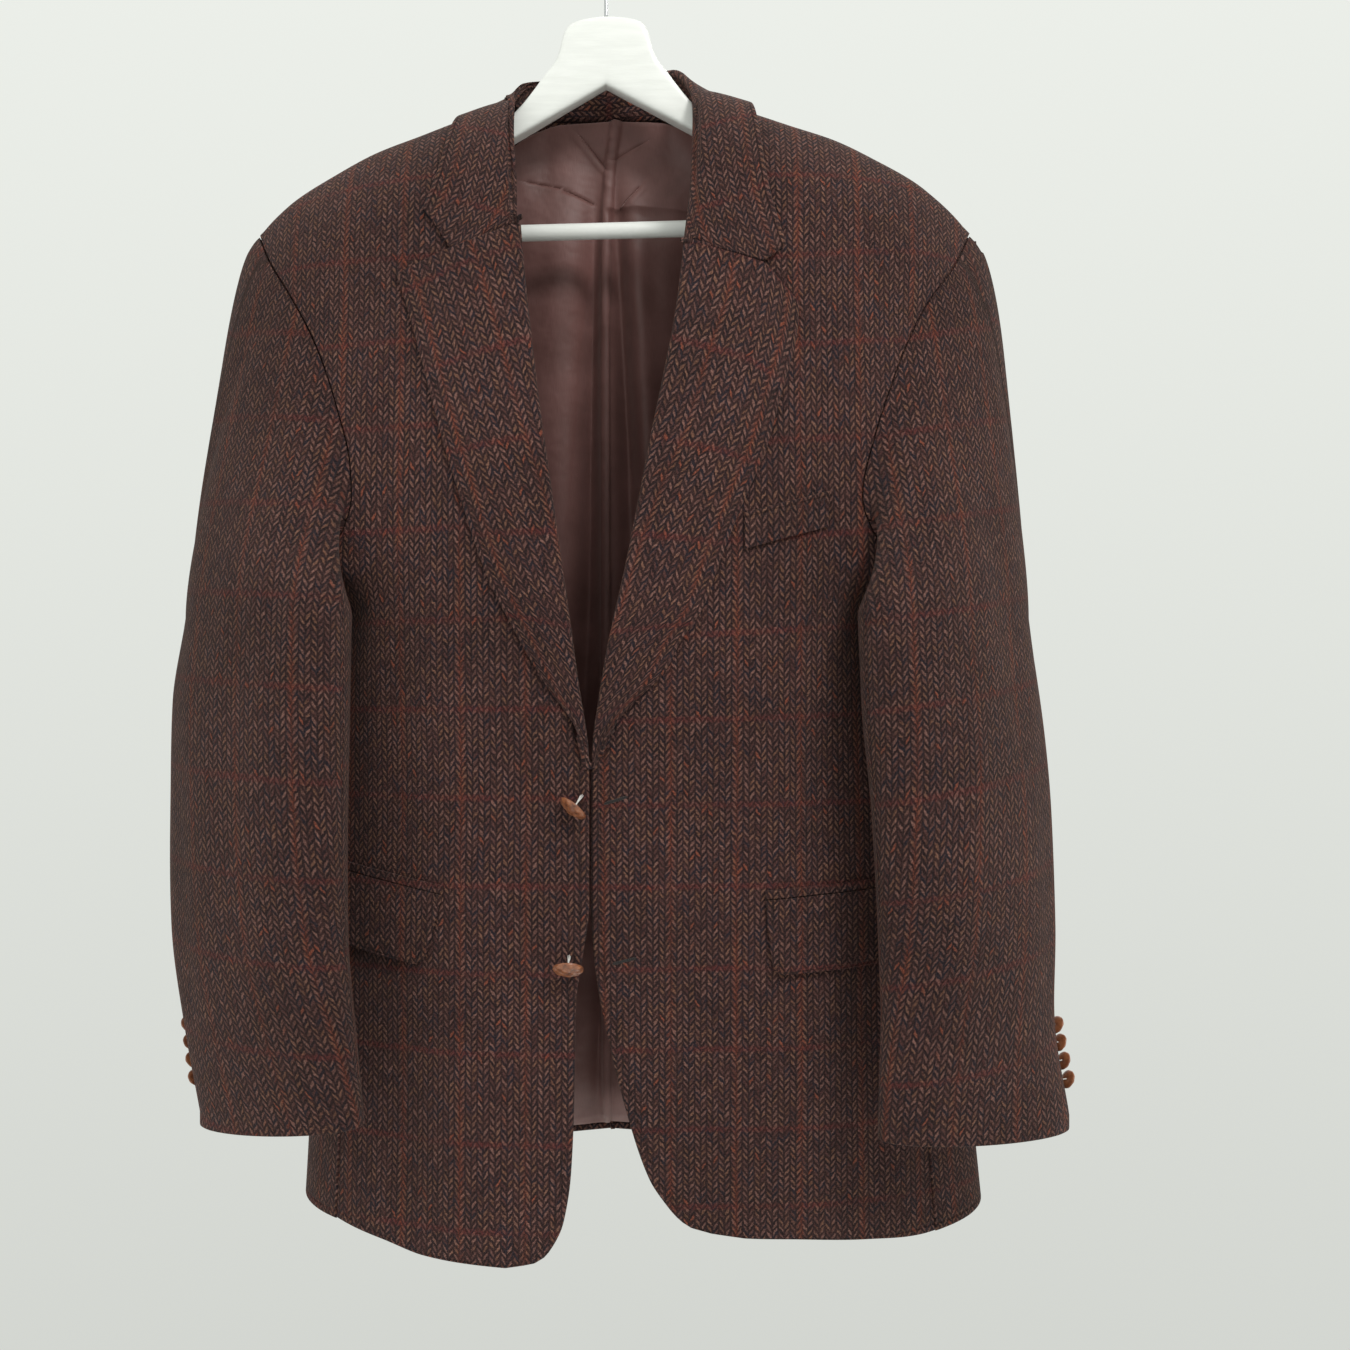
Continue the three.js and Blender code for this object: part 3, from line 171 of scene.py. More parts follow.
# Softer creases that only the cloth has, in the same form.
CREASES = {
    "left": [
        (27, -612, 0.0, 10, 60, -3.5),
        (176, -660, 0.02, 11, 150, 2.2), (128, -610, -0.05, 13, 120, -1.4), (64, -700, 0.08, 15, 90, 1.2),
        (188, -850, -0.06, 12, 80, -1.6), (112, -460, 0.16, 12, 90, 1.5), (40, -860, 0.03, 11, 70, -1.2),
        (160, -330, -0.3, 13, 60, -1.2),
    ],
    "right": [
        (188, -690, -0.03, 13, 170, 2.4), (130, -640, 0.06, 14, 130, -1.3), (84, -700, -0.05, 13, 80, 1.2),
        (214, -850, 0.05, 14, 90, -1.8), (118, -500, -0.14, 13, 80, 1.4), (48, -850, -0.03, 12, 80, -1.2),
        (168, -330, 0.3, 14, 60, -1.3),
    ],
}
BACK_CREASES = [
    (60, -560, 0.06, 20, 200, 4.6), (128, -700, -0.05, 24, 170, -4.2), (176, -560, 0.02, 18, 150, 3.8),
    (96, -830, 0.05, 18, 100, 3.0), (30, -320, 0.2, 18, 80, -2.6), (150, -380, -0.35, 16, 90, 3.0),
    (92, -420, 0.12, 15, 110, -3.0), (24, -740, -0.03, 20, 140, -3.0),
]

FOLD_RADIUS = 3.5
FOOT_W, TURNED_W = 0.15, 0.5
LAPEL_TUCK = 8.0
BREAK_Z = -603.0
LAPEL_V = (-606.0, -584.0)
LOW_RADIUS, LOW_REACH = 2.0, 0.12  # the lapel's fold closes up towards its lower end
EDGE_LIFT, COLLAR_LIFT, BELLY = 3.6, 6.9, 2.5
GORGE_GAP = 1.0
UNDERARM_V = 0.64
SEAM_ROWS = [(UNDERARM_V, UNDERARM_Z), (0.66, -455), (0.69, -441), (0.73, -412)]


# ---- Curves ----
def column(rows, index, key=0):
    """A smooth curve through one column of a table, by the monotone cubic rule."""
    table = sorted(rows, key=lambda row: row[key])
    xs = np.array([row[key] for row in table], float)
    ys = np.array([row[index] for row in table], float)
    slopes = np.diff(ys) / np.diff(xs)
    tangents = np.empty_like(xs)
    tangents[0], tangents[-1] = slopes[0], slopes[-1]
    for i in range(1, len(xs) - 1):
        before, after = slopes[i - 1], slopes[i]
        tangents[i] = 0 if before * after <= 0 else 2 * before * after / (before + after)

    def curve(x):
        at = np.clip(x, xs[0], xs[-1])
        i = np.clip(np.searchsorted(xs, at, side="left") - 1, 0, len(xs) - 2)
        span = xs[i + 1] - xs[i]
        t = (at - xs[i]) / span
        rise = ys[i + 1] - ys[i]
        c, d = span * tangents[i], span * tangents[i + 1]
        return ys[i] + t * (c + t * (3 * rise - 2 * c - d + t * (c + d - 2 * rise)))

    return curve


def smooth(low, high, x):
    t = np.clip((np.asarray(x, float) - low) / (high - low), 0, 1)
    return t * t * (3 - 2 * t)


def lerp(a, b, t):
    return a + (b - a) * t


shoulder_line = column(SHOULDER, 1)
seam_z = column(SLEEVE_SEAM, 1)
body, sleeve, edge, arm_front, arm_back, lapel_edge, collar, hem = ({} for _ in range(8))
for side in SIDES:
    body[side] = [column(BODY[side], i) for i in range(1, 5)]
    sleeve[side] = [column(SLEEVE[side], i) for i in range(1, 6)]
    edge[side] = column(FRONT_EDGE[side], 1)
    arm_front[side] = column(ARM_FRONT[side], 1)
    arm_back[side] = column(ARM_BACK[side], 1)
    lapel_edge[side] = column(LAPEL_EDGE[side], 1)
    collar[side] = [column(COLLAR[side], i) for i in range(1, 7)]
    hem[side] = column(HEM[side], 1)
foot_of = [column(COLLAR_FOOT, i) for i in range(1, 4)]


def ridge(side, x):
    return shoulder_line(np.abs(x)) + SIDES[side] * x * TILT


def fold_depth(folds, x, z):
    depth = 0.0
    for fx, fz, lean, width, length, size in folds:
        across = (x - fx - lean * (z - fz)) / width
        along = (z - fz) / length
        depth = depth + size * np.exp(-across * across - along**4)
    return depth


def pack(x, y, z):
    return np.stack(np.broadcast_arrays(x, y, z), axis=-1).astype(float)


def arrays(*values):
    """The values as arrays of one common shape."""
    return np.broadcast_arrays(*(np.asarray(value, float) for value in values))


def choose(condition, first, second):
    """The first points where the condition holds, and the second ones elsewhere."""
    return np.where(condition[..., None], first, second)


def unit(vectors):
    return vectors / np.maximum(np.linalg.norm(vectors, axis=-1, keepdims=True), 1e-12)


def arc_length(points):
    """Length along a line of points, from its first one."""
    return np.concatenate([[0], np.cumsum(np.linalg.norm(np.diff(points, axis=0), axis=1))])


# ---- The body's surface ----
def clear_of_sleeve(side, x, y, z):
    """Moves a body point off the hanging sleeve beside it."""
    sx, sy, sa, sb, st = sleeve[side]
    share = 1 - smooth(-496, UNDERARM_Z, z)
    level = np.minimum(z, SLEEVE[side][0][0])
    turn = np.radians(st(level))
    cos, sin = np.cos(turn), np.sin(turn)
    dx, df = x - sx(level), -(y - sy(level))
    along = dx * cos - df * sin
    out = dx * sin + df * cos
    a = sa(level) + SLEEVE_GAP + 14
    b = sb(level) + SLEEVE_GAP
    limit = -b * np.sqrt(np.clip(1 - (along / a) ** 2, 0, 1))
    soft = 8.0
    over = out - limit
    push = np.where(over > 30 * soft, over, soft * np.log1p(np.exp(np.minimum(over / soft, 30))))
    moved = np.where(np.abs(along) >= a, 0, share * push)
    return x - moved * sin, y + moved * cos


def body_point(side, facing, x, z, roll=math.pi / 2, gap=None, creases=()):
    """A point of the front (facing -1) or back (facing 1), x out from the centre."""
    half, front, middle_side, back = body[side]
    x, z, roll = arrays(x, z, roll)
    top = ridge(side, x)
    rolling = roll < math.pi / 2 - 1e-9
    height = np.where(rolling, top - SHOULDER_RADIUS * (1 - np.cos(roll)), z)
    drop = np.clip((top - height) / SHOULDER_RADIUS, 0, 1)
    sine = np.where(rolling, np.sin(roll), np.sqrt(np.clip(1 - (1 - drop) ** 2, 0, 1)))
    share = np.minimum(np.abs(x) / half(height), 1)
    spread = np.sqrt(np.clip(1 - share ** (FRONT_POWER if facing < 0 else BACK_POWER), 0, 1))
    rolled = lerp(1, sine, smooth(45, NECK_POINT, np.abs(x)))
    side_y = middle_side(height)
    middle = front(height) if facing < 0 else back(height)
    y = side_y + (middle - side_y) * spread * rolled
    if facing < 0:
        y = y + fold_depth(FOLDS[side], x, height) * rolled
    y = y - facing * fold_depth(creases, x, height) * rolled
    px, py = clear_of_sleeve(side, x, y, height)
    return pack(SIDES[side] * px, py + (facing * SEAM / 2 if gap is None else gap), height)


def side_point(side, turn, z):
    """A point round the side: turn is -1 at the front seam, 0 at the side and 1 at the back seam."""
    turn, z = arrays(turn, z)
    seam = np.where(turn < 0, FRONT_SEAM, BACK_SEAM)
    angle = math.pi / 2 - np.abs(turn) * (math.pi / 2 - np.arcsin(seam))
    x = np.sin(angle) * body[side][0](z)
    gap = turn * SEAM / 2
    front = body_point(side, -1, x, z, gap=gap, creases=CREASES[side])
    return choose(turn < 0, front, body_point(side, 1, x, z, gap=gap, creases=BACK_CREASES))


def roll_at(v):
    return (math.pi / 2) * np.where(v > 1, 2 - v, 1)


def seam_height(v, hem_z, top_z):
    rows = np.array([(0, 0)] + SEAM_ROWS + [(1, 0)], float)
    rows[0, 1] = hem_z
    v = np.minimum(v, 1)
    low = lerp(hem_z, UNDERARM_Z, v / UNDERARM_V)
    vs, zs = rows[1:-1, 0], rows[1:-1, 1]
    mid = np.interp(v, vs, zs)
    high = lerp(zs[-1], top_z, (v - vs[-1]) / (1 - vs[-1]))
    return np.where(v <= UNDERARM_V, low, np.where(v <= vs[-1], mid, high))


def shoulder_x(v, edge_x, top_x):
    return lerp(edge_x, top_x, np.sin(np.maximum(v - 1, 0) * math.pi / 2))


def armhole_edge(side, curve, v):
    fall = SHOULDER_RADIUS * (1 - np.cos(roll_at(np.maximum(v, 1))))
    x = np.full_like(np.asarray(v, float), SHOULDER_POINT[side])
    for _ in range(12):
        x = lerp(x, curve(ridge(side, x) - fall), 0.7)
    return x, ridge(side, x) - fall


def panel_outer(side, curve, share, hem_z, v):
    top_x, top_z = armhole_edge(side, curve, v)
    z = np.where(v >= 1, top_z, seam_height(v, hem_z, top_z))
    low = share * body[side][0](z)
    x = np.where(v >= 1, top_x, np.where(v <= UNDERARM_V, low, curve(z)))
    return x - SEAM / 2, z


def front_inner(side, z, v=0.0):
    tuck = LAPEL_TUCK * smooth(BREAK_Z - 4, BREAK_Z + 22, z)
    return shoulder_x(v, edge[side](z) + tuck, NECK_POINT)


def panel_point(side, facing, u, v, inner, outer, hem_shape, creases):
    x = lerp(inner[0], outer[0], u)
    ridge_chord = lerp(ridge(side, inner[0]), ridge(side, outer[0]), u)
    hem_chord = lerp(hem_shape(inner[0]), hem_shape(outer[0]), u)
    z = lerp(inner[1], outer[1], u)
    z = z + smooth(0.6, 1, v) * (ridge(side, x) - ridge_chord)
    z = z + (1 - smooth(0, 0.3, v)) * (hem_shape(x) - hem_chord)
    return body_point(side, facing, x, z, roll_at(v), creases=creases)


def front_seam_hem(side):
    """Height of the hem where the front meets the side panel."""
    return float(hem[side](FRONT_SEAM * body[side][0](HEM_LEVEL)))


def front_point(side, u, v):
    hem_z = FRONT_EDGE[side][0][0]
    inner_z = lerp(hem_z, ridge(side, NECK_POINT) - SHOULDER_RADIUS, np.minimum(v, 1))
    inner = front_inner(side, inner_z, v), inner_z
    outer = panel_outer(side, arm_front[side], FRONT_SEAM, front_seam_hem(side), v)
    return panel_point(side, -1, u, v, inner, outer, hem[side], CREASES[side])


def back_point(side, u, v, creases=BACK_CREASES):
    inner_z = lerp(BACK_HEM_CENTRE, ridge(side, 0.0) - SHOULDER_RADIUS, np.minimum(v, 1))
    outer = panel_outer(side, arm_back[side], BACK_SEAM, BACK_HEM_SEAM, v)
    inner = np.full_like(inner_z, SEAM / 2), inner_z
    return panel_point(side, 1, u, v, inner, outer, lambda x: 0 * x, creases)


def side_panel_point(side, u, v):
    edge_turn = SEAM / 2 / SIDE_HALF_WIDTH
    turn = lerp(-1 + edge_turn, 1 - edge_turn, u)
    hem_z = lerp(front_seam_hem(side), BACK_HEM_SEAM, u)
    return side_point(side, turn, lerp(hem_z, UNDERARM_Z, v / UNDERARM_V))


# ---- Sleeves ----
def armhole_point(side, turn):
    z = np.minimum(seam_z(turn), ridge(side, SHOULDER_POINT[side]))
    front_turn, middle, back_turn = UNDERARM_TURNS
    front = body_point(side, -1, arm_front[side](z), z, creases=CREASES[side])
    back = body_point(side, 1, arm_back[side](z), z, creases=BACK_CREASES)
    span = np.where(turn < middle, middle - front_turn, back_turn - middle)
    under = side_point(side, (turn - middle) / span, UNDERARM_Z)
    return choose(turn >= back_turn, back, choose(turn <= front_turn, front, under))


def sleeve_section(side, turn, z):
    sx, sy, sa, sb, st = sleeve[side]
    swing, angle = np.radians(st(z)), np.radians(turn)
    along, out = sa(z) * np.cos(angle), sb(z) * np.sin(angle)
    x = sx(z) + along * np.cos(swing) + out * np.sin(swing)
    y = sy(z) + along * np.sin(swing) - out * np.cos(swing)
    return pack(SIDES[side] * x, y, z)


SLEEVE_HEAD = {"left": 2.0, "right": 26.0}


def sleeve_point(side, turn, v):
    """v is 0 at the armhole, 1 at the top of the hanging part and 2 at the cuff."""
    turn, v = arrays(turn, v)
    sign = SIDES[side]
    full = (turn + 360) % 360
    top_z = float(SLEEVE[side][0][0])
    cuff_z, cuff_slope = CUFF[side]
    lean = sleeve_section(side, turn, cuff_z)[..., 0] * sign - sleeve[side][0](cuff_z)
    low = sleeve_section(side, turn, lerp(top_z, cuff_z - cuff_slope * lean, np.maximum(v - 1, 0)))
    under = smooth(200, 228, full) * (1 - smooth(315, 328, full))
    slope = -0.35 - 0.4 * np.maximum(np.cos(np.radians(full)), 0) ** 2
    away = unit(pack(sign, 0, slope))
    down = np.array([0.0, 0.0, -1.0])
    start = armhole_point(side, full)
    plan = unit(pack(start[..., 0] - sign * 205, start[..., 1] - 8, 0))
    under = under[..., None]
    start = start + away * 0.8 * (1 - under) + plan * 3 * under + down * -1.2 * under
    end = sleeve_section(side, turn, top_z)
    length = np.linalg.norm(start - end, axis=-1, keepdims=True)
    leave = unit(away * (1 - under) + down * under)
    tangent = leave * lerp(0.3 * length + SLEEVE_HEAD[side], 0.5 * length, under)
    arrive = down * 0.8 * length
    k = np.minimum(v, 1)[..., None]  # below 0 it runs on under the body's edge
    head = start * (2 * k**3 - 3 * k**2 + 1) + tangent * (k**3 - 2 * k**2 + k)
    head = head + end * (3 * k**2 - 2 * k**3) + arrive * (k**3 - k**2)
    return choose(v >= 1, low, head)


# Creases of the sleeves: turn, z, lean in degrees a millimetre, width in degrees, length, depth inwards.
SLEEVE_CREASES = {
    "left": [
        (38, -400, 0.05, 9, 120, 2.6), (70, -520, -0.06, 12, 110, -1.6), (104, -600, 0.05, 11, 120, 2.0),
        (58, -700, 0.03, 11, 90, 1.6), (132, -480, 0.10, 10, 60, 2.2), (20, -620, -0.04, 10, 110, -1.4),
        (240, -560, 0.06, 14, 110, 2.4), (286, -700, -0.05, 14, 90, -2.0), (330, -560, 0.03, 10, 110, 1.6),
    ],
    "right": [
        (30, -420, -0.04, 9, 110, 1.8), (78, -500, 0.06, 12, 120, 2.2), (112, -640, -0.05, 11, 100, -1.7),
        (50, -680, 0.04, 12, 100, 1.7), (138, -470, -0.09, 10, 70, 2.2), (16, -590, 0.03, 10, 90, -1.2),
        (244, -580, -0.05, 14, 120, 2.4), (290, -680, 0.06, 14, 90, -1.8), (334, -540, -0.03, 10, 100, 1.6),
    ],
}


def sleeve_relief(side, turn, p):
    full = (turn + 360) % 360
    z = p[..., 2]
    depth = 0.0
    for at, fz, lean, width, length, size in SLEEVE_CREASES[side]:
        across = (full - at - lean * (z - fz)) / width
        depth = depth + size * np.exp(-across * across - ((z - fz) / length) ** 4)
    return -depth


# ---- Lapels and collar ----
def fold_angle(w):
    return lerp(-math.pi / 2, math.pi / 2, (w - FOOT_W) / (TURNED_W - FOOT_W))


def notch_share(side):
    start = COLLAR[side][-1][1] + FOLD_RADIUS
    return (NOTCH[side][0] - start) / (LAPEL_EDGE[side][-1][1] - start)


def lapel_point(side, w, v):
    w, v = arrays(w, v)
    sign = SIDES[side]
    gorge_z, tip = COLLAR[side][-1][3], LAPEL_EDGE[side][-1]
    roll_z = lerp(LAPEL_V[0], gorge_z, v)
    fold_x = edge[side](roll_z)
    face_y = body_point(side, -1, fold_x + LAPEL_TUCK, roll_z)[..., 1] + TWEED
    foot_x = front_inner(side, roll_z) - 2
    radius = lerp(LOW_RADIUS, FOLD_RADIUS, smooth(0, LOW_REACH, v))
    leg = pack(sign * lerp(foot_x, fold_x + radius, w / FOOT_W), face_y, roll_z)
    angle = fold_angle(w)
    turned_x = fold_x + radius * (1 - np.cos(angle))
    turned = pack(sign * turned_x, face_y - radius * (1 + np.sin(angle)), roll_z)
    k = np.clip((w - TURNED_W) / (1 - TURNED_W), 0, 1)
    edge_z = lerp(LAPEL_V[1], tip[0], v)
    x = lerp(fold_x + radius, lapel_edge[side](edge_z), k)
    notch_k = notch_share(side)
    bend = NOTCH[side][1] - lerp(gorge_z, tip[0], notch_k)
    hat = np.where(k < notch_k, k / notch_k, (1 - k) / (1 - notch_k))
    z = lerp(roll_z, edge_z, k) + bend * hat * v**4
    lift = lerp(2 * radius - TWEED, EDGE_LIFT, k) + BELLY * np.sin(math.pi * k) * np.minimum(4 * v, 1)
    face = pack(sign * x, body_point(side, -1, x, z)[..., 1] - lift, z)
    return choose(w <= FOOT_W, leg, choose(w <= TURNED_W, turned, face))


def lift_off(side, point, clearance):
    """Lifts points of the collar off the shoulder they lie on."""
    x, y, z = point[..., 0] * SIDES[side], point[..., 1], point[..., 2]
    side_y = body[side][2](z)
    front = y < side_y
    top = ridge(side, x) - SHOULDER_RADIUS
    level = np.minimum(z, top)
    front_y, back_y = body_point(side, -1, x, level)[..., 1], body_point(side, 1, x, level)[..., 1]
    reach = np.abs(np.where(front, front_y, back_y) - side_y)
    up = np.maximum(z - top, 0) / SHOULDER_RADIUS
    out = np.abs(y - side_y) / reach
    size = np.maximum(np.hypot(up, out), 1e-6)
    support = size / np.hypot(up / SHOULDER_RADIUS, out / reach)
    scale = (1 + clearance / support) / size
    skip = (scale <= 1) | ((x < 60) & ~front)
    new_y = side_y + np.where(front, -1, 1) * out * scale * reach
    new_z = np.where(up > 0, top + up * scale * SHOULDER_RADIUS, z)
    return choose(skip, point, pack(point[..., 0], new_y, new_z))


def collar_section(side, t, w):
    sign = SIDES[side]
    cx, cy, cz, ox, oy, oz = collar[side]

    def fold_at(at):
        return pack(sign * cx(at), cy(at), cz(at))

    fold = fold_at(t)
    outer = pack(sign * ox(t), oy(t), oz(t))
    run = fold_at(np.minimum(t + 0.01, 1)) - fold_at(np.maximum(t - 0.01, 0))
    run = choose(t < 0.02, np.array([sign, 0.0, 0.0]), run)
    along = unit(outer - fold)
    face = unit(np.cross(run, along)) * sign
    centre = fold + along * FOLD_RADIUS
    start = pack(sign * foot_of[0](t), foot_of[1](t), foot_of[2](t))
    leg = lerp(start, centre - face * FOLD_RADIUS, (w / FOOT_W)[..., None])
    angle = fold_angle(w)[..., None]
    turned = centre - along * FOLD_RADIUS * np.cos(angle) + face * FOLD_RADIUS * np.sin(angle)
    k = np.clip((w - TURNED_W) / (1 - TURNED_W), 0, 1)[..., None]
    fall = lerp(centre + face * FOLD_RADIUS, outer, k) + face * BELLY * np.sin(math.pi * k)
    return choose(w <= FOOT_W, leg, choose(w <= TURNED_W, turned, fall))


def collar_end(side, w):
    gorge = COLLAR[side][-1]
    notch_k = notch_share(side)
    corner_w = 0.8
    gap = np.array([0, -0.5, GORGE_GAP])
    stand = lapel_point(side, np.minimum(w, TURNED_W), 1.0) + gap
    k = np.clip((w - TURNED_W) / (corner_w - TURNED_W), 0, 1)
    corner_at = np.maximum(TURNED_W + k * notch_k * (1 - TURNED_W), TURNED_W + 1e-9)
    corner = lapel_point(side, corner_at, 1.0) + gap
    x, z = gorge[4], gorge[6]
    end = body_point(side, -1, float(x), float(z)) - np.array([0, EDGE_LIFT, 0])
    rise = lerp(corner, end, np.clip((w - corner_w) / (1 - corner_w), 0, 1)[..., None])
    limit = body_point(side, -1, rise[..., 0] * SIDES[side], rise[..., 2])[..., 1] - EDGE_LIFT
    rise[..., 1] = np.minimum(rise[..., 1], limit)
    return choose(w <= TURNED_W, stand, choose(w <= corner_w, corner, rise))


def collar_point(t, w):
    t, w = arrays(t, w)
    at = np.minimum(np.abs(t), 1)
    near_end = np.clip((at - 0.7) / 0.3, 0, 1)[..., None]
    share = near_end**2 * (2 - near_end)
    halves = []
    for side in SIDES:
        point = lerp(collar_section(side, at, w), collar_end(side, w), share)
        halves.append(choose((w > TURNED_W) & (at < 0.97), lift_off(side, point, COLLAR_LIFT), point))
    return choose(t < 0, *halves)


# ---- What lies on the fronts ----
def on_front(side, x, z, lift):
    """A point lifted off the face of a front, square to it."""
    step = 0.5

    def beside(dx, dz):
        return body_point(side, -1, x + dx, z + dz, creases=CREASES[side])

    across, up = beside(step, 0) - beside(-step, 0), beside(0, step) - beside(0, -step)
    return beside(0, 0) + unit(np.cross(across, up)) * SIDES[side] * np.asarray(lift)[..., None]


def flap_point(side, u, v):
    inner_x, outer_x, inner_z, outer_z, drop, slant = FLAP[side]
    down = 1 - v
    corner = np.clip((down - 0.8) / 0.2, 0, 1)
    inner = inner_x + slant * down + 9 * (1 - np.sqrt(1 - corner**2))
    x = lerp(inner, outer_x, u)
    z = lerp(inner_z, outer_z, (x - inner_x) / (outer_x - inner_x)) - drop * down
    wave = 0.8 * np.sin(5.2 * u + 0.6) * down
    return on_front(side, x, z, FLAP_WALL + PATCH_GAP + 2 * down + wave * down)


def jetting_point(side, u, v):
    inner_x, outer_x, inner_z, outer_z, _, _ = FLAP[side]
    z = lerp(inner_z, outer_z, u) + JETTING_GAP + JETTING_HEIGHT * v
    return on_front(side, lerp(inner_x, outer_x, u), z, 0 * v + JETTING_WALL + PATCH_GAP)


def welt_point(u, v):
    inner_x, outer_x, inner_z, outer_z, drop = WELT
    z = lerp(inner_z, outer_z, u) - drop * (1 - v)
    return on_front("right", lerp(inner_x, outer_x, u), z, 0 * v + WELT_WALL + PATCH_GAP)


# ---- Back lining ----
LINING_HEM_V, LINING_NECK_V, LINING_SHOULDER_V = 0.012, 1.82, 1.5
LINING_PLEAT, LINING_LOOSE, LINING_GAP = 6.0, 15.0, 1.8
# The pleat's ridge down the middle of the back: depth below the origin, x.
LINING_RIDGE = [(120, 5.5), (152, 1.0), (189, -1.4), (304, -3.0), (900, -2.0)]
# Sharp creases near the neck and soft folds below them: x, z, lean, width, length, depth towards the viewer.
LINING_CREASES = [
    (-10, -142, -0.83, 2.2, 15, -1.8), (-14, -141, -0.83, 3.0, 15, 1.2), (15, -139, 1.7, 2.4, 8, -1.6),
    (-25, -174, -2.5, 2.6, 5, -1.8), (14, -179, 0.84, 2.4, 14, -2.0), (18, -176, 0.84, 3.0, 14, 1.2),
    (-48, -166, -4.5, 3.5, 4, -0.9), (-40, -340, 0.03, 14, 170, 4.5), (-14, -330, 0.02, 9, 150, -14.0),
    (11, -290, -0.05, 7, 110, -11.0), (27, -310, -0.06, 9, 130, 6.5), (52, -370, 0.08, 15, 190, -9.0),
    (-72, -400, -0.03, 14, 210, -6.0), (-36, -430, 0.06, 9, 110, 2.2), (18, -480, -0.04, 8, 120, -9.0),
    (40, -520, 0.04, 10, 130, 2.6), (-20, -570, 0.05, 9, 130, -9.0), (-60, -600, -0.02, 13, 150, 2.6),
    (-30, -790, 0.05, 9, 110, 5.0), (-8, -815, 0.03, 8, 80, -8.0), (18, -820, 0.12, 8, 90, 2.6),
    (44, -780, -0.04, 11, 120, -7.0), (76, -760, 0.02, 13, 140, 2.4), (-96, -800, 0.03, 13, 110, -2.4),
    (120, -620, 0.02, 15, 150, 2.2), (-126, -700, 0.02, 15, 150, 2.2),
]


def lining_point(u, v):
    u, v = arrays(u, v)
    halves = []
    away = np.abs(u)
    for side in SIDES:
        x = np.abs(back_point(side, away, np.ones_like(v), ())[..., 0])
        top_v = lerp(LINING_NECK_V, LINING_SHOULDER_V, smooth(35, 80, x))
        row = np.where(v <= 1.25, v, lerp(1.25, top_v, (v - 1.25) / 0.75))
        point = back_point(side, away, row, ())
        point[..., 0] = np.where(away < 1e-4, 0, point[..., 0])
        point[..., 1] -= TWEED * 1.15 + LINING_GAP
        halves.append(point)
    point = choose(u < 0, *halves)
    z = point[..., 2]
    bulge = fold_depth(LINING_CREASES, point[..., 0], z)
    ridge_x = np.interp(-z, *zip(*LINING_RIDGE))
    pleat = LINING_PLEAT * np.exp(-np.abs((point[..., 0] - ridge_x) / 2.4) ** 1.4)
    loose = LINING_LOOSE * smooth(-130, -230, z) * smooth(-905, -860, z)
    loose = loose * np.exp(-((point[..., 0] / 150) ** 4))
    point[..., 1] -= (bulge + pleat) * smooth(-905, -870, z) + loose + 2.4
    return point


# ---- Shells ----
def cumulative(points, axis):
    steps = np.linalg.norm(np.diff(points, axis=axis), axis=-1)
    total = np.cumsum(steps, axis=axis)
    pad = [(0, 0), (0, 0)]
    pad[axis] = (1, 0)
    return np.pad(total, pad)


def spaced(length, step, ends=(True, True)):
    """Shares from 0 to 1 about one step apart, closer at the ends that have a rounded edge."""
    count = max(int(round(length / step)), 2)
    shares = list(np.linspace(0, 1, count + 1))
    for fine in (0.25, 0.7, 1.4, 2.4):
        if ends[0]:
            shares.append(fine / length)
        if ends[1]:
            shares.append(1 - fine / length)
    shares = np.array(sorted(shares))
    keep = np.concatenate([[True], np.diff(shares) > 0.2 / length])
    keep[-1] = True
    return shares[keep]


STEP = 4.0  # distance between a cloth's rows
BLUNT = 0.15  # how far a cut edge is taken off its corner
TUCK = 4.0  # width of the seam allowance that runs under the neighbouring piece


def with_tuck(length, *ends):
    """Shares of a length, with a seam allowance's rows before the first one or after the last one."""
    beyond = np.array([0.25, 0.6, 1.2, 2.5, TUCK]) / length
    near = np.array([0.25, 0.5, 0.8, 1.2]) / length
    shares = spaced(length, STEP)
    shares = shares[(shares > near[-1]) | (shares == 0)]
    shares = shares[(shares < 1 - near[-1]) | (shares == 1)]
    if "low" in ends:
        shares = np.concatenate([-beyond, near, shares])
    if "high" in ends:
        shares = np.concatenate([1 + beyond, 1 - near, shares])
    return np.unique(shares)


def past_bounds(us, vs, across, along, bounds):
    """How far each point lies beyond the bounds, out on a seam allowance."""
    past = np.full(across.shape, -99.0)
    for axis, (lengths, shares) in enumerate(((across, us), (along, vs))):
        for limit, sign in ((bounds[2 * axis], -1), (bounds[2 * axis + 1], 1)):
            outermost = shares[0] if sign < 0 else shares[-1]
            if sign * (outermost - limit) > 1e-9:
                base = lengths.take([int(np.argmin(np.abs(shares - limit)))], axis=axis)
                past = np.maximum(past, sign * (lengths - base))
    return past


def edge_inset(thickness, turned_mm, near_mm):
    """How far the wall draws in: in a round at a turned edge, and a little at any other."""
    radius = thickness / 2
    rounded = radius - np.sqrt(np.clip(radius**2 - np.clip(radius - turned_mm, 0, radius) ** 2, 0, None))
    return np.maximum(np.minimum(rounded, 0.82 * radius), np.clip(BLUNT - near_mm, 0, BLUNT))[..., None]


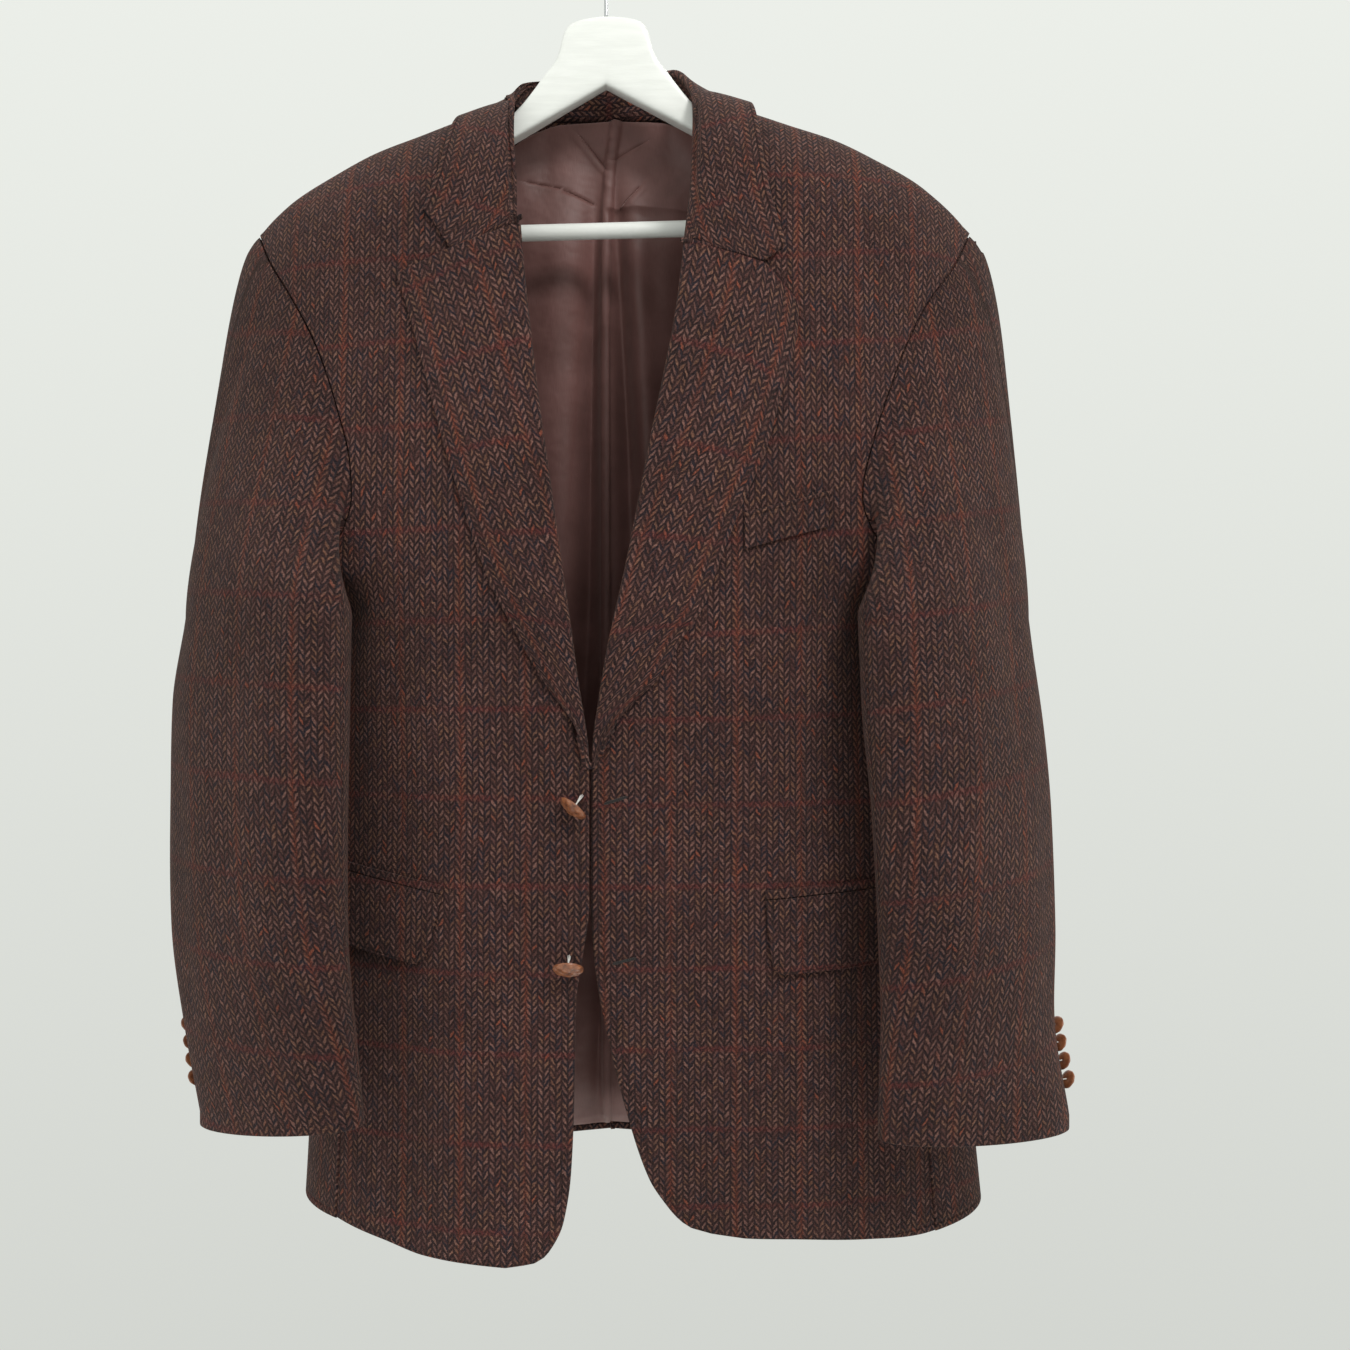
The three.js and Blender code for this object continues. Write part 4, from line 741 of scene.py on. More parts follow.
def wall_quads(width, height):
    """Faces of a closed wall: the face, the back of it and its four edges."""
    grid = np.arange(width * height).reshape(width, height)
    behind = grid + width * height
    return np.concatenate([
        np.stack([grid[:-1, :-1], grid[1:, :-1], grid[1:, 1:], grid[:-1, 1:]], -1).reshape(-1, 4),
        np.stack([behind[:-1, 1:], behind[1:, 1:], behind[1:, :-1], behind[:-1, :-1]], -1).reshape(-1, 4),
        np.stack([behind[:-1, 0], behind[1:, 0], grid[1:, 0], grid[:-1, 0]], -1),
        np.stack([grid[:-1, -1], grid[1:, -1], behind[1:, -1], behind[:-1, -1]], -1),
        np.stack([grid[0, 1:], behind[0, 1:], behind[0, :-1], grid[0, :-1]], -1),
        np.stack([grid[-1, :-1], behind[-1, :-1], behind[-1, 1:], grid[-1, 1:]], -1),
    ])


def new_object(name, points, faces):
    """A smooth mesh in the scene, from points in millimetres."""
    mesh = bpy.data.meshes.new(name)
    mesh.from_pydata((points * MM).tolist(), [], faces)
    mesh.shade_smooth()
    obj = bpy.data.objects.new(name, mesh)
    bpy.context.scene.collection.objects.link(obj)
    return obj


def add_values(mesh, name, values):
    mesh.attributes.new(name, "FLOAT", "POINT").data.foreach_set("value", values.astype(np.float32))


def add_pattern(mesh, pattern):
    corner = np.empty(len(mesh.loops), dtype=np.int32)
    mesh.loops.foreach_get("vertex_index", corner)
    mesh.uv_layers.new(name="weave").data.foreach_set("uv", pattern[corner].ravel().astype(np.float32))


def shell(
    name, at, us, vs, thickness, outward, weave, relief=None, hem_edges=(), bounds=(0, 1, 0, 1), valleys=(),
):
    """A closed thin wall behind the face at(u, v), with its weave in a UV map and its edge distance.

    Rows beyond the bounds are a seam allowance, and step down behind the neighbouring piece."""
    u, v = np.meshgrid(us, vs, indexing="ij")
    step = 1e-3
    face = at(u, v)
    du = at(u + step, v) - at(u - step, v)
    dv = at(u, v + step) - at(u, v - step)
    normal = unit(np.cross(du, dv)) * outward
    if relief is not None:
        face = face + normal * relief(u, v, face)[..., None]
    across, along = cumulative(face, 0), cumulative(face, 1)
    distances = {"u0": across, "u1": across[-1:] - across, "v0": along, "v1": along[:, -1:] - along}
    for key, depth, reach in valleys:
        face = face - normal * (depth * np.exp(-((distances[key] / reach) ** 2)))[..., None]
    past = past_bounds(us, vs, across, along, bounds)
    face = face - normal * ((thickness + 0.5) * smooth(0.0, 0.25, past))[..., None]
    turned_mm = np.minimum.reduce([distances[key] for key in hem_edges] + [np.full(across.shape, 99.0)])
    inset = edge_inset(thickness, turned_mm, np.minimum.reduce(list(distances.values())))
    outer, inner = face - normal * inset, face - normal * (thickness - inset)
    faces = wall_quads(*u.shape)
    if outward < 0:
        faces = faces[:, ::-1]
    obj = new_object(name, np.concatenate([outer.reshape(-1, 3), inner.reshape(-1, 3)]), faces.tolist())
    weave_u, weave_v = weave(u, v, face, across, along)
    add_pattern(obj.data, np.stack([np.tile(weave_u.ravel(), 2), np.tile(weave_v.ravel(), 2)], -1) * MM)
    add_values(obj.data, "edge_mm", np.tile(turned_mm.ravel(), 2))
    return obj


def finish_piece(obj, material, slot, *nodes):
    obj.data.materials.append(material)
    if nodes:
        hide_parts(*nodes)
    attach(obj, "root")
    return obj


# ---- Materials ----
class Nodes:
    """Builds one material's shader from short calls."""

    def __init__(self, name):
        self.material = bpy.data.materials.new(name)
        self.material.use_nodes = True
        self.tree = self.material.node_tree
        self.shader = self.tree.nodes["Principled BSDF"]

    def node(self, kind, **values):
        made = self.tree.nodes.new(kind)
        for key, value in values.items():
            setattr(made, key, value)
        return made

    def put(self, socket, value):
        if isinstance(value, bpy.types.NodeSocket):
            self.tree.links.new(value, socket)
        else:
            socket.default_value = value

    def math(self, operation, a, b=0.0, c=0.0):
        made = self.node("ShaderNodeMath", operation=operation)
        for socket, value in zip(made.inputs, (a, b, c)):
            self.put(socket, value)
        return made.outputs[0]

    def ramp(self, value, low, high, out_low=0.0, out_high=1.0):
        made = self.node("ShaderNodeMapRange", interpolation_type="SMOOTHSTEP")
        for socket, entry in zip(made.inputs, (value, low, high, out_low, out_high)):
            self.put(socket, entry)
        return made.outputs[0]

    def noise(self, vector, scale, detail=2.0, rough=0.5, color=False):
        made = self.node("ShaderNodeTexNoise")
        self.put(made.inputs["Vector"], vector)
        self.put(made.inputs["Scale"], scale)
        self.put(made.inputs["Detail"], detail)
        self.put(made.inputs["Roughness"], rough)
        return made.outputs["Color" if color else "Fac"]

    def mix(self, share, a, b, blend="MIX"):
        made = self.node("ShaderNodeMix", data_type="RGBA", blend_type=blend)
        self.put(made.inputs[0], share)
        for socket, value in ((made.inputs[6], a), (made.inputs[7], b)):
            self.put(socket, value if isinstance(value, bpy.types.NodeSocket) else (*value, 1.0))
        return made.outputs[2]

    def bump(self, height, distance, normal=None, strength=1.0):
        made = self.node("ShaderNodeBump")
        self.put(made.inputs["Strength"], strength)
        self.put(made.inputs["Distance"], distance)
        self.put(made.inputs["Height"], height)
        if normal is not None:
            self.put(made.inputs["Normal"], normal)
        return made.outputs[0]

    def shaded(self, color, shade):
        """The colour times a grey."""
        tint = self.node("ShaderNodeCombineColor")
        for socket in tint.inputs:
            self.put(socket, shade)
        return self.mix(1.0, color, tint.outputs[0], "MULTIPLY")

    def position(self):
        return self.node("ShaderNodeTexCoord").outputs["Object"]

    def stretched(self, vector, scale):
        made = self.node("ShaderNodeMapping")
        self.put(made.inputs["Vector"], vector)
        made.inputs["Scale"].default_value = scale
        return made.outputs[0]

    def uv(self):
        made = self.node("ShaderNodeUVMap", uv_map="weave")
        split = self.node("ShaderNodeSeparateXYZ")
        self.put(split.inputs[0], made.outputs[0])
        return made.outputs[0], split.outputs[0], split.outputs[1]

    def finish(self, color, roughness, **sockets):
        self.put(self.shader.inputs["Base Color"], color)
        self.put(self.shader.inputs["Roughness"], roughness)
        for name, value in sockets.items():
            self.put(self.shader.inputs[name.replace("_", " ")], value)
        return self.material


CHECK = 46.0  # between the overcheck's upright lines, mm
CHECK_ROW = 60.0  # between its level lines, mm
COLUMN = 4.2  # width of a herringbone column, mm
TWILL = 5.0  # repeat of the twill along the cloth, mm
TWILL_SLOPE = 1.25
STIR = 2.6  # how far the yarns wander, mm
CHECK_STRENGTH = 0.50


def tweed_material(name, painted_light_level=1.0, stitched=0.0):
    n = Nodes(name)
    uv, u_m, v_m = n.uv()
    # The yarns wander a little, so the pattern's coordinates are stirred before it is drawn.
    stir = n.node("ShaderNodeVectorMath", operation="SUBTRACT")
    n.put(stir.inputs[0], n.noise(uv, 330.0, 2.0, 0.6, color=True))
    n.put(stir.inputs[1], (0.5, 0.5, 0.5))
    split = n.node("ShaderNodeSeparateXYZ")
    n.put(split.inputs[0], stir.outputs[0])
    u = n.math("MULTIPLY_ADD", split.outputs[0], STIR, n.math("MULTIPLY", u_m, 1000.0))
    v = n.math("MULTIPLY_ADD", split.outputs[1], STIR, n.math("MULTIPLY", v_m, 1000.0))
    # Herringbone: each column's twill leans the other way from its neighbours'.
    saw = n.math("PINGPONG", u, COLUMN)
    diagonal = n.math("DIVIDE", n.math("ADD", v, n.math("MULTIPLY", saw, TWILL_SLOPE)), TWILL)
    odd = n.math("FLOORED_MODULO", n.math("FLOOR", n.math("DIVIDE", u, COLUMN)), 2.0)
    diagonal = n.math("MULTIPLY_ADD", odd, 0.5, diagonal)
    wave = n.math("SINE", n.math("MULTIPLY", diagonal, 2 * math.pi))
    twill = n.ramp(wave, -0.45, 0.6)
    # A dark yarn closes each column, so every float of the light yarn is a short separate grain.
    rim = n.math("MINIMUM", saw, n.math("SUBTRACT", COLUMN, saw))
    yarn = n.math("MULTIPLY", twill, n.ramp(rim, 0.1, 1.2))
    # Heather: each float has its own colour out of the few that are spun together.
    cell = n.node("ShaderNodeCombineXYZ")
    n.put(cell.inputs[0], n.math("FLOOR", n.math("DIVIDE", u, COLUMN)))
    n.put(cell.inputs[1], n.math("FLOOR", diagonal))
    cells = n.node("ShaderNodeTexWhiteNoise", noise_dimensions="2D")
    n.put(cells.inputs["Vector"], cell.outputs[0])
    pick = n.node("ShaderNodeSeparateColor")
    n.put(pick.inputs[0], cells.outputs["Color"])
    chance, tone, other = pick.outputs[0], pick.outputs[1], pick.outputs[2]
    # The cloth leans towards gold in some places and towards slate in others.
    golden = n.ramp(n.noise(uv, 62.0, 2.0, 0.6), 0.42, 0.58)
    light = n.mix(tone, (0.178, 0.088, 0.073), (0.070, 0.028, 0.026))
    gold_share = n.math("MULTIPLY", golden, n.ramp(chance, 0.40, 0.55, 0.0, 0.55))
    light = n.mix(gold_share, light, (0.168, 0.080, 0.046))
    light = n.mix(n.ramp(chance, 0.962, 0.985), light, (0.190, 0.055, 0.034))
    dark = n.mix(other, (0.019, 0.010, 0.011), (0.038, 0.017, 0.016))
    slate_share = n.math("MULTIPLY", n.ramp(chance, 0.30, 0.20), n.ramp(golden, 0.0, 1.0, 1.0, 0.3))
    dark = n.mix(slate_share, dark, (0.018, 0.013, 0.018))
    color = n.mix(yarn, dark, light)
    # Windowpane overcheck: rust upright lines, wine level ones, in floats of the same length.
    off_u = n.math("PINGPONG", u, CHECK / 2)
    off_v = n.math("PINGPONG", v, CHECK_ROW / 2)
    worn = n.ramp(n.noise(uv, 30.0, 2.0, 0.6), 0.35, 0.6, 0.35, 1.0)
    stripe_u = n.math("MULTIPLY", n.ramp(off_u, 0.6, 3.2, 1.0, 0.0), n.ramp(wave, -0.3, 0.5, 0.22, 1.0))
    stripe_v = n.math("MULTIPLY", n.ramp(off_v, 0.6, 3.4, 1.0, 0.0), n.ramp(wave, -0.7, 0.5, 0.35, 1.0))
    stripe_v = n.math("MULTIPLY", stripe_v, worn)
    color = n.mix(n.math("MULTIPLY", stripe_v, CHECK_STRENGTH), color, (0.125, 0.022, 0.020))
    stripe_u = n.math("MULTIPLY", stripe_u, worn)
    color = n.mix(n.math("MULTIPLY", stripe_u, CHECK_STRENGTH), color, (0.205, 0.048, 0.024))
    # Slow changes over a hand's width, as where the cloth has been worn and pressed.
    position = n.position()
    # Each copy's level scales this: painted light on the lapels, painted shade on the sleeves and trims.
    patchy = n.ramp(n.noise(position, 9.0, 3.0, 0.6), 0.3, 0.7, 0.88 * painted_light_level, 1.12 * painted_light_level)
    fuzz = n.ramp(n.noise(uv, 900.0, 2.0, 0.7), 0.28, 0.72, 0.50, 1.50)
    shade = n.math("MULTIPLY", patchy, fuzz)
    color = n.shaded(color, shade)
    height = n.math("ADD", n.math("MULTIPLY", yarn, 0.7), n.math("MULTIPLY", fuzz, 0.5))
    normal = n.bump(height, 0.0009)
    if stitched:
        edge = n.node("ShaderNodeAttribute", attribute_name="edge_mm").outputs["Fac"]
        groove = n.math("ABSOLUTE", n.math("SUBTRACT", edge, stitched))
        line = n.ramp(groove, 0.2, 1.8, 0.0, 1.0)
        puff = n.ramp(edge, 0.0, stitched, 0.0, 1.0)
        normal = n.bump(n.math("MULTIPLY", line, n.math("MULTIPLY_ADD", puff, 0.2, 0.8)), 0.0012, normal)
    return n.finish(
        color, n.ramp(fuzz, 0.7, 1.3, 0.98, 0.82), Normal=normal, Specular_IOR_Level=0.15, Sheen_Weight=0.12,
        Sheen_Roughness=0.5, Sheen_Tint=(0.8, 0.6, 0.52, 1.0),
    )


def lining_material():
    n = Nodes("lining_satin")
    uv = n.uv()[0]
    threads = n.noise(n.stretched(uv, (2400.0, 120.0, 1.0)), 1.0, 2.0, 0.6)
    crumple = n.noise(uv, 26.0, 3.0, 0.55)
    slubs = n.ramp(threads, 0.3, 0.7, 0.92, 1.06)
    # The satin is painted darker in the crumples' hollows and lighter on their rises, as painted shade of
    # the crumples.
    color = n.mix(n.ramp(crumple, 0.3, 0.7), (0.142, 0.065, 0.058), (0.185, 0.086, 0.078))
    color = n.shaded(color, slubs)
    normal = n.bump(threads, 0.00012)
    normal = n.bump(crumple, 0.004, normal, 0.7)
    return n.finish(
        color, n.ramp(crumple, 0.3, 0.7, 0.46, 0.56), Normal=normal, Specular_IOR_Level=0.42,
        Sheen_Weight=0.3, Sheen_Roughness=0.4, Sheen_Tint=(0.9, 0.7, 0.66, 1.0), Anisotropic=0.45,
    )


def leather_material():
    n = Nodes("button_leather")
    position = n.position()
    grain = n.noise(position, 2200.0, 3.0, 0.6)
    patches = n.noise(position, 260.0, 2.0, 0.5)
    high = n.node("ShaderNodeAttribute", attribute_name="crown").outputs["Fac"]
    color = n.mix(n.ramp(patches, 0.35, 0.65), (0.330, 0.118, 0.050), (0.210, 0.068, 0.030))
    # The plait's hollows are painted dark, as painted shade between the strips, and its highest tops a
    # lighter tan.
    color = n.mix(n.ramp(high, 0.0, 0.8, 0.7, 0.0), color, (0.045, 0.014, 0.008))
    color = n.mix(n.ramp(high, 0.85, 1.0, 0.0, 0.25), color, (0.470, 0.200, 0.100))
    normal = n.bump(grain, 0.00012)
    roughness = n.ramp(grain, 0.3, 0.7, 0.24, 0.4)
    return n.finish(color, roughness, Normal=normal, Coat_Weight=0.35, Coat_Roughness=0.2)


def paint_material():
    n = Nodes("hanger_paint")
    position = n.position()
    grain = n.noise(n.stretched(position, (30.0, 220.0, 220.0)), 1.0, 4.0, 0.6)
    scuffs = n.ramp(n.noise(position, 60.0, 5.0, 0.7), 0.62, 0.75)
    color = n.mix(n.ramp(grain, 0.3, 0.7), (0.79, 0.80, 0.77), (0.84, 0.85, 0.82))
    color = n.mix(n.math("MULTIPLY", scuffs, 0.35), color, (0.62, 0.58, 0.50))
    normal = n.bump(grain, 0.0002)
    roughness = n.ramp(grain, 0.3, 0.7, 0.30, 0.42)
    return n.finish(color, roughness, Normal=normal, Coat_Weight=0.15, Coat_Roughness=0.25)


def steel_material():
    n = Nodes("hook_steel")
    position = n.position()
    drawn = n.noise(position, 900.0, 3.0, 0.6)
    color = n.mix(n.ramp(drawn, 0.35, 0.7), (0.60, 0.61, 0.62), (0.46, 0.47, 0.48))
    return n.finish(color, n.ramp(drawn, 0.3, 0.7, 0.22, 0.36), Normal=n.bump(drawn, 0.00005), Metallic=1.0)


def thread_material(name, color):
    n = Nodes(name)
    position = n.position()
    ply = n.noise(position, 3200.0, 2.0, 0.6)
    shade = n.mix(n.ramp(ply, 0.35, 0.65), color, tuple(0.72 * c for c in color))
    return n.finish(shade, 0.7, Normal=n.bump(ply, 0.0001), Sheen_Weight=0.2)


# The copies of one cloth differ in level as painted light and shade: the sleeves' copy is darker and the
# trims' a little darker, as painted shade, and the lapels' lighter, as painted light.
tweed = tweed_material("tweed_body", stitched=6.0)
tweed_sleeve = tweed_material("tweed_sleeve", painted_light_level=0.9)
tweed_lapel = tweed_material("tweed_lapel", painted_light_level=1.04, stitched=5.0)
tweed_trim = tweed_material("tweed_trim", painted_light_level=0.96, stitched=4.0)
satin = lining_material()
leather = leather_material()
paint = paint_material()
steel = steel_material()
white_thread = thread_material("white_thread", (0.78, 0.76, 0.72))
brown_thread = thread_material("brown_thread", (0.016, 0.008, 0.007))
slit_shadow = thread_material("slit_shadow", (0.006, 0.004, 0.003))

# Heights of the overcheck's level lines, from the top.
LEVELS = {
    "left": [-363, -436, -501, -564, -626, -687, -748, -803, -865],
    "right": [-258, -322, -389, -456, -517, -573, -631, -688, -746, -803, -860, -915],
    "sleeve_left": [-295, -357, -419, -483, -544, -607, -673, -730, -790],
    "sleeve_right": [-292, -360, -425, -490, -551, -611, -681, -736, -804],
}
LEVEL_TILT = {"left": 0.03, "right": 0.09}
UPRIGHT_START = {"left": 6.0, "right": 2.0}


def level_map(rows):
    count = len(rows)
    zs = [rows[0] + CHECK_ROW * 6] + list(rows) + [rows[-1] - CHECK_ROW * 6]
    vs = [-CHECK_ROW * 6] + [CHECK_ROW * i for i in range(count)] + [CHECK_ROW * (count + 5)]
    return lambda z: np.interp(-z, -np.array(zs, float), vs)


def cloth_height(v, face, along):
    """Height of each point, with the roll over the shoulder unrolled upwards."""
    start = int(np.argmax(v[0] >= 1)) if np.any(v[0] >= 1) else v.shape[1] - 1
    z = face[..., 2].copy()
    z[:, start:] = z[:, start:start + 1] + along[:, start:] - along[:, start:start + 1]
    return z


def body_weave(side, first, rows):
    level = level_map(LEVELS[rows])

    def weave(u, v, face, across, along):
        start = face[:1, :, 0] * SIDES[side] if first is None else first
        height = cloth_height(v, face, along)
        tilt = LEVEL_TILT[rows] * face[..., 0] * smooth(-640, -420, height)
        return start + across - UPRIGHT_START[side], level(height - tilt)

    return weave


def arc_table(side):
    """Distance round the front at the pockets' height, for a distance straight across."""
    xs = np.linspace(-20, 0.9 * BODY[side][5][1], 200)
    return xs, arc_length(body_point(side, -1, xs, -690.0)) - 20


def patch_weave(side):
    xs, arc = arc_table(side)
    level = level_map(LEVELS[side])

    def weave(u, v, face, across, along):
        return np.interp(face[..., 0] * SIDES[side], xs, arc) - UPRIGHT_START[side], level(face[..., 2])

    return weave


RING_TURNS = np.linspace(-180, 180, 361)
MIDDLE_TURN, UNDER_MIDDLE_TURN = 80.0, 262.0  # the turns that the two sleeve pieces are measured from
FLAT_SHARE = 0.7  # of the sleeve's breadth, where its surface turns away from the front or the back


def head_measure(side):
    """Distance round the sleeve from its outline, for a distance inwards on its front or on its back."""
    ring = sleeve_section(side, RING_TURNS, float(SLEEVE[side][0][0]))
    reach = ring[:, 0] * SIDES[side]
    arc = arc_length(ring)
    outer = int(np.argmax(reach))
    arc -= arc[outer]

    def half(order):
        inwards = reach[outer] - reach[order]
        count = int(np.argmax(inwards > FLAT_SHARE * inwards.max()))
        known, lengths = inwards[:count], np.abs(arc[order][:count])
        return lambda distance: np.interp(distance, known, lengths) + np.maximum(distance - known[-1], 0)

    front, back = half(np.arange(outer, len(arc))), half(np.arange(outer, -1, -1))
    return RING_TURNS[outer], np.interp(MIDDLE_TURN, RING_TURNS, arc), front, back


def sleeve_weave(side, start, turn_of, middle_turn):
    """Measures the cloth round the sleeve below its head, and inwards from its outline on the head."""
    level = level_map(LEVELS[f"sleeve_{side}"])
    tilt = {"left": 0.05, "right": 0.13}[side]
    outer_turn, middle, front, back = head_measure(side)

    def weave(u, v, face, across, along):
        turns = turn_of(u, v)
        away = across - np.array([np.interp(middle_turn, *pair) for pair in zip(turns.T, across.T)])
        if middle_turn == MIDDLE_TURN:
            reach = face[..., 0] * SIDES[side]
            rows = np.argmax(reach, 0), np.arange(u.shape[1])
            order = np.argsort(face[..., 2][rows])
            outline = np.interp(face[..., 2], face[..., 2][rows][order], reach[rows][order])
            inwards = np.maximum(outline - reach, 0)
            measured = np.where(turns > outer_turn, front(inwards), -back(inwards)) - middle
            away = away + (measured - away) * smooth(1.0, 0.8, v)
        return start + away, level(face[..., 2]) - tilt * away

    return weave


def lapel_weave(u, v, face, across, along):
    return across[-1:] - across - 12.0, along[-1:] * np.ones_like(across) + 20.0


def collar_weave(u, v, face, across, along):
    middle = across[len(u) // 2:len(u) // 2 + 1]
    return along[:, -1:] - along + 34.0, np.abs(across - middle)


def lining_weave(u, v, face, across, along):
    return face[..., 0], face[..., 2]


def cloth(
    node, at, us, vs, wall, outward, weave, material, slot="tweed", held="hung",
    rests_on=("hanger_shoulder",), **options,
):
    """One cut piece: a shell over its node, which it hides, in the given material."""
    obj = shell(f"cloth_{node}", at, us, vs, wall, outward, weave, **options)
    finish_piece(obj, material, slot, node)


SHOULDER_ROWS = list(1 + np.linspace(0, 1, 26)[1:])
panel_v = np.array(sorted(set([*spaced(780.0, STEP), *(v for v, _ in SEAM_ROWS), *SHOULDER_ROWS])))
panel_v = panel_v[(panel_v <= 0.9965) | (panel_v >= 1)]
neck_v = [1.988, 1.993, 1.997, 2.0, 2.003, 2.008, 2.02, 2.04, 2.055]
front_v = np.unique(np.concatenate([panel_v[panel_v < 1.985], neck_v]))
panel_v = np.sort(np.append(panel_v, [1.990, 1.997]))
side_v = panel_v[panel_v <= UNDERARM_V + 1e-9]
front_u = with_tuck(190.0, "high")
back_u = {"left": with_tuck(225.0, "low", "high"), "right": with_tuck(225.0, "high")}
for side, sign in SIDES.items():
    cloth(
        f"front_{side}", partial(front_point, side), front_u, front_v, TWEED, sign,
        body_weave(side, None, side), tweed, hem_edges=("u0", "v0"), bounds=(0, 1, 0, 2),
        valleys=(("u1", 1.2, 16.0),),
    )
    cloth(
        f"back_{side}", partial(back_point, side), back_u[side], panel_v, TWEED, -sign,
        body_weave(side, None, "right"), tweed, hem_edges=("v0",), bounds=(0, 1, 0, 2),
    )
    cloth(
        f"side_{side}", partial(side_panel_point, side), spaced(125, STEP), side_v, TWEED, sign,
        body_weave(side, 214.0, side), tweed, hem_edges=("v0",),
    )

SLEEVE_FRONT, SLEEVE_HIND, SLEEVE_HIND_CUFF, SLEEVE_GAP_TURN = 188.0, -36.0, -20.0, 0.45
sleeve_v = np.concatenate([
    [0.0, 0.002, 0.005, 0.009], np.linspace(0.015, 1, 50)[0:-1], np.linspace(1, 1.984, 84),
    [1.990, 1.995, 1.998, 2.0],
])


def hind(v):
    return lerp(SLEEVE_HIND, SLEEVE_HIND_CUFF, v / 2)


def top_turn(u, v):
    return lerp(hind(v) + SLEEVE_GAP_TURN, SLEEVE_FRONT - SLEEVE_GAP_TURN, u)


def under_turn(u, v):
    return lerp(SLEEVE_FRONT + SLEEVE_GAP_TURN, hind(v) + 360 - SLEEVE_GAP_TURN, u)


def sleeve_piece(side, part, turn_of, us, start, middle_turn):
    cloth(
        f"{part}_sleeve_{side}", lambda u, v: sleeve_point(side, turn_of(u, v), v), us, sleeve_v, TWEED,
        SIDES[side], sleeve_weave(side, start, turn_of, middle_turn), tweed_sleeve, hem_edges=("v1",),
        bounds=(0, 1, 0, 2), valleys=(("v0", 1.6, 14.0),),
        relief=lambda u, v, p: sleeve_relief(side, turn_of(u, v), p),
    )


for side in SIDES:
    sleeve_piece(side, "top", top_turn, with_tuck(255, "low", "high"), 6.0, MIDDLE_TURN)
    sleeve_piece(side, "under", under_turn, spaced(150, STEP), 23.0, UNDER_MIDDLE_TURN)


def folded_rows(leg_rows, turned_width):
    """Shares across a folded piece: its leg, its fold and its turned part."""
    return np.unique(np.concatenate([
        np.linspace(0, FOOT_W, leg_rows), np.linspace(FOOT_W, TURNED_W, 11),
        TURNED_W + 0.5 * spaced(turned_width, 3.5, (False, True)),
    ]))


for side, sign in SIDES.items():
    cloth(
        f"lapel_{side}", partial(lapel_point, side), folded_rows(4, 95.0), spaced(350.0, 3.5), LAPEL_WALL,
        sign, lapel_weave, tweed_lapel, hem_edges=("u1",), held="folded",
    )
collar_t = np.unique(np.concatenate([np.linspace(-1, 1, 181), [-0.999, -0.996, 0.996, 0.999]]))
cloth(
    "collar", collar_point, collar_t, folded_rows(8, 55.0), LAPEL_WALL, 1, collar_weave, tweed_lapel,
    hem_edges=("v1",), held="folded",
)
jetting_v = np.array([0, 0.05, 0.15, 0.35, 0.65, 0.85, 0.95, 1])
for side, sign in SIDES.items():
    weave, below = patch_weave(side), [f"front_{side}"]
    cloth(
        f"flap_{side}", partial(flap_point, side), spaced(110, 2.5), spaced(52, 2.5), FLAP_WALL, sign, weave,
        tweed_trim, hem_edges=("u0", "u1", "v0"), rests_on=below,
    )
    cloth(
        f"jetting_{side}", partial(jetting_point, side), spaced(110, 2.5), jetting_v, JETTING_WALL, sign,
        weave, tweed_trim, rests_on=below,
    )
cloth(
    "breast_welt", welt_point, spaced(62, 2.0), spaced(25, 2.0), WELT_WALL, 1, patch_weave("right"),
    tweed_trim, hem_edges=("v1",), rests_on=["front_right"],
)
lining_half = np.unique(np.concatenate([
    np.linspace(0, 0.12, 26), np.linspace(0.12, 0.34, 24), np.linspace(0.34, 0.86, 30),
]))
lining_u = np.unique(np.concatenate([-lining_half, lining_half]))
cloth(
    "back_lining", lining_point, lining_u, lerp(LINING_HEM_V, 2.0, np.linspace(0, 1, 190)), LINING_WALL, -1,
    lining_weave, satin, slot="lining", hem_edges=("u0", "u1", "v0", "v1"),
    rests_on=["back_left", "back_right"],
)


# ---- Buttons and stitching ----
def quads_of(rings, sides):
    """Faces round a stack of rings."""
    faces = []
    for low in range(0, (rings - 1) * sides, sides):
        high = low + sides
        for j in range(sides):
            k = (j + 1) % sides
            faces.append((low + j, low + k, high + k, high + j))
    return faces


def tube(path, radius, sides=8):
    """Points and faces of a closed round tube along a path."""
    path = np.asarray(path, float)
    run = unit(np.gradient(path, axis=0))
    first = unit(np.cross(run, [0.31, 0.17, 0.93]))
    second = np.cross(run, first)
    angles = np.linspace(0, 2 * math.pi, sides, endpoint=False)[None, :, None]
    points = path[:, None] + radius * (first[:, None] * np.cos(angles) + second[:, None] * np.sin(angles))
    faces = [tuple(reversed(face)) for face in quads_of(len(path), sides)]
    last = (len(path) - 1) * sides
    faces.append(tuple(range(sides)))
    faces.append(tuple(last + j for j in reversed(range(sides))))
    return points.reshape(-1, 3), faces


def join_tubes(name, tubes):
    points, faces = [], []
    for tube_points, tube_faces in tubes:
        start = sum(len(p) for p in points)
        points.append(tube_points)
        faces.extend(tuple(start + i for i in face) for face in tube_faces)
    return new_object(name, np.concatenate(points), faces)


def plait(a, b, strip):
    """Height from 0 to 1 of leather strips plaited over and under one another."""
    ca, cb = a / strip, b / strip
    fa, fb = ca - np.floor(ca) - 0.5, cb - np.floor(cb) - 0.5
    along_a = (np.floor(ca) + np.floor(cb)) % 2 < 0.5
    over, run = np.where(along_a, fb, fa), np.where(along_a, fa, fb)
    return np.sqrt(np.clip(1 - (1.96 * over) ** 2, 0, 1)) * (0.5 + 0.5 * np.cos(math.pi * run))


DOME, DOME_SHARE = math.radians(68), 0.62  # the button's dome, and its share of the profile
CROWN_SHARE = 0.7  # of the profile that the plait covers


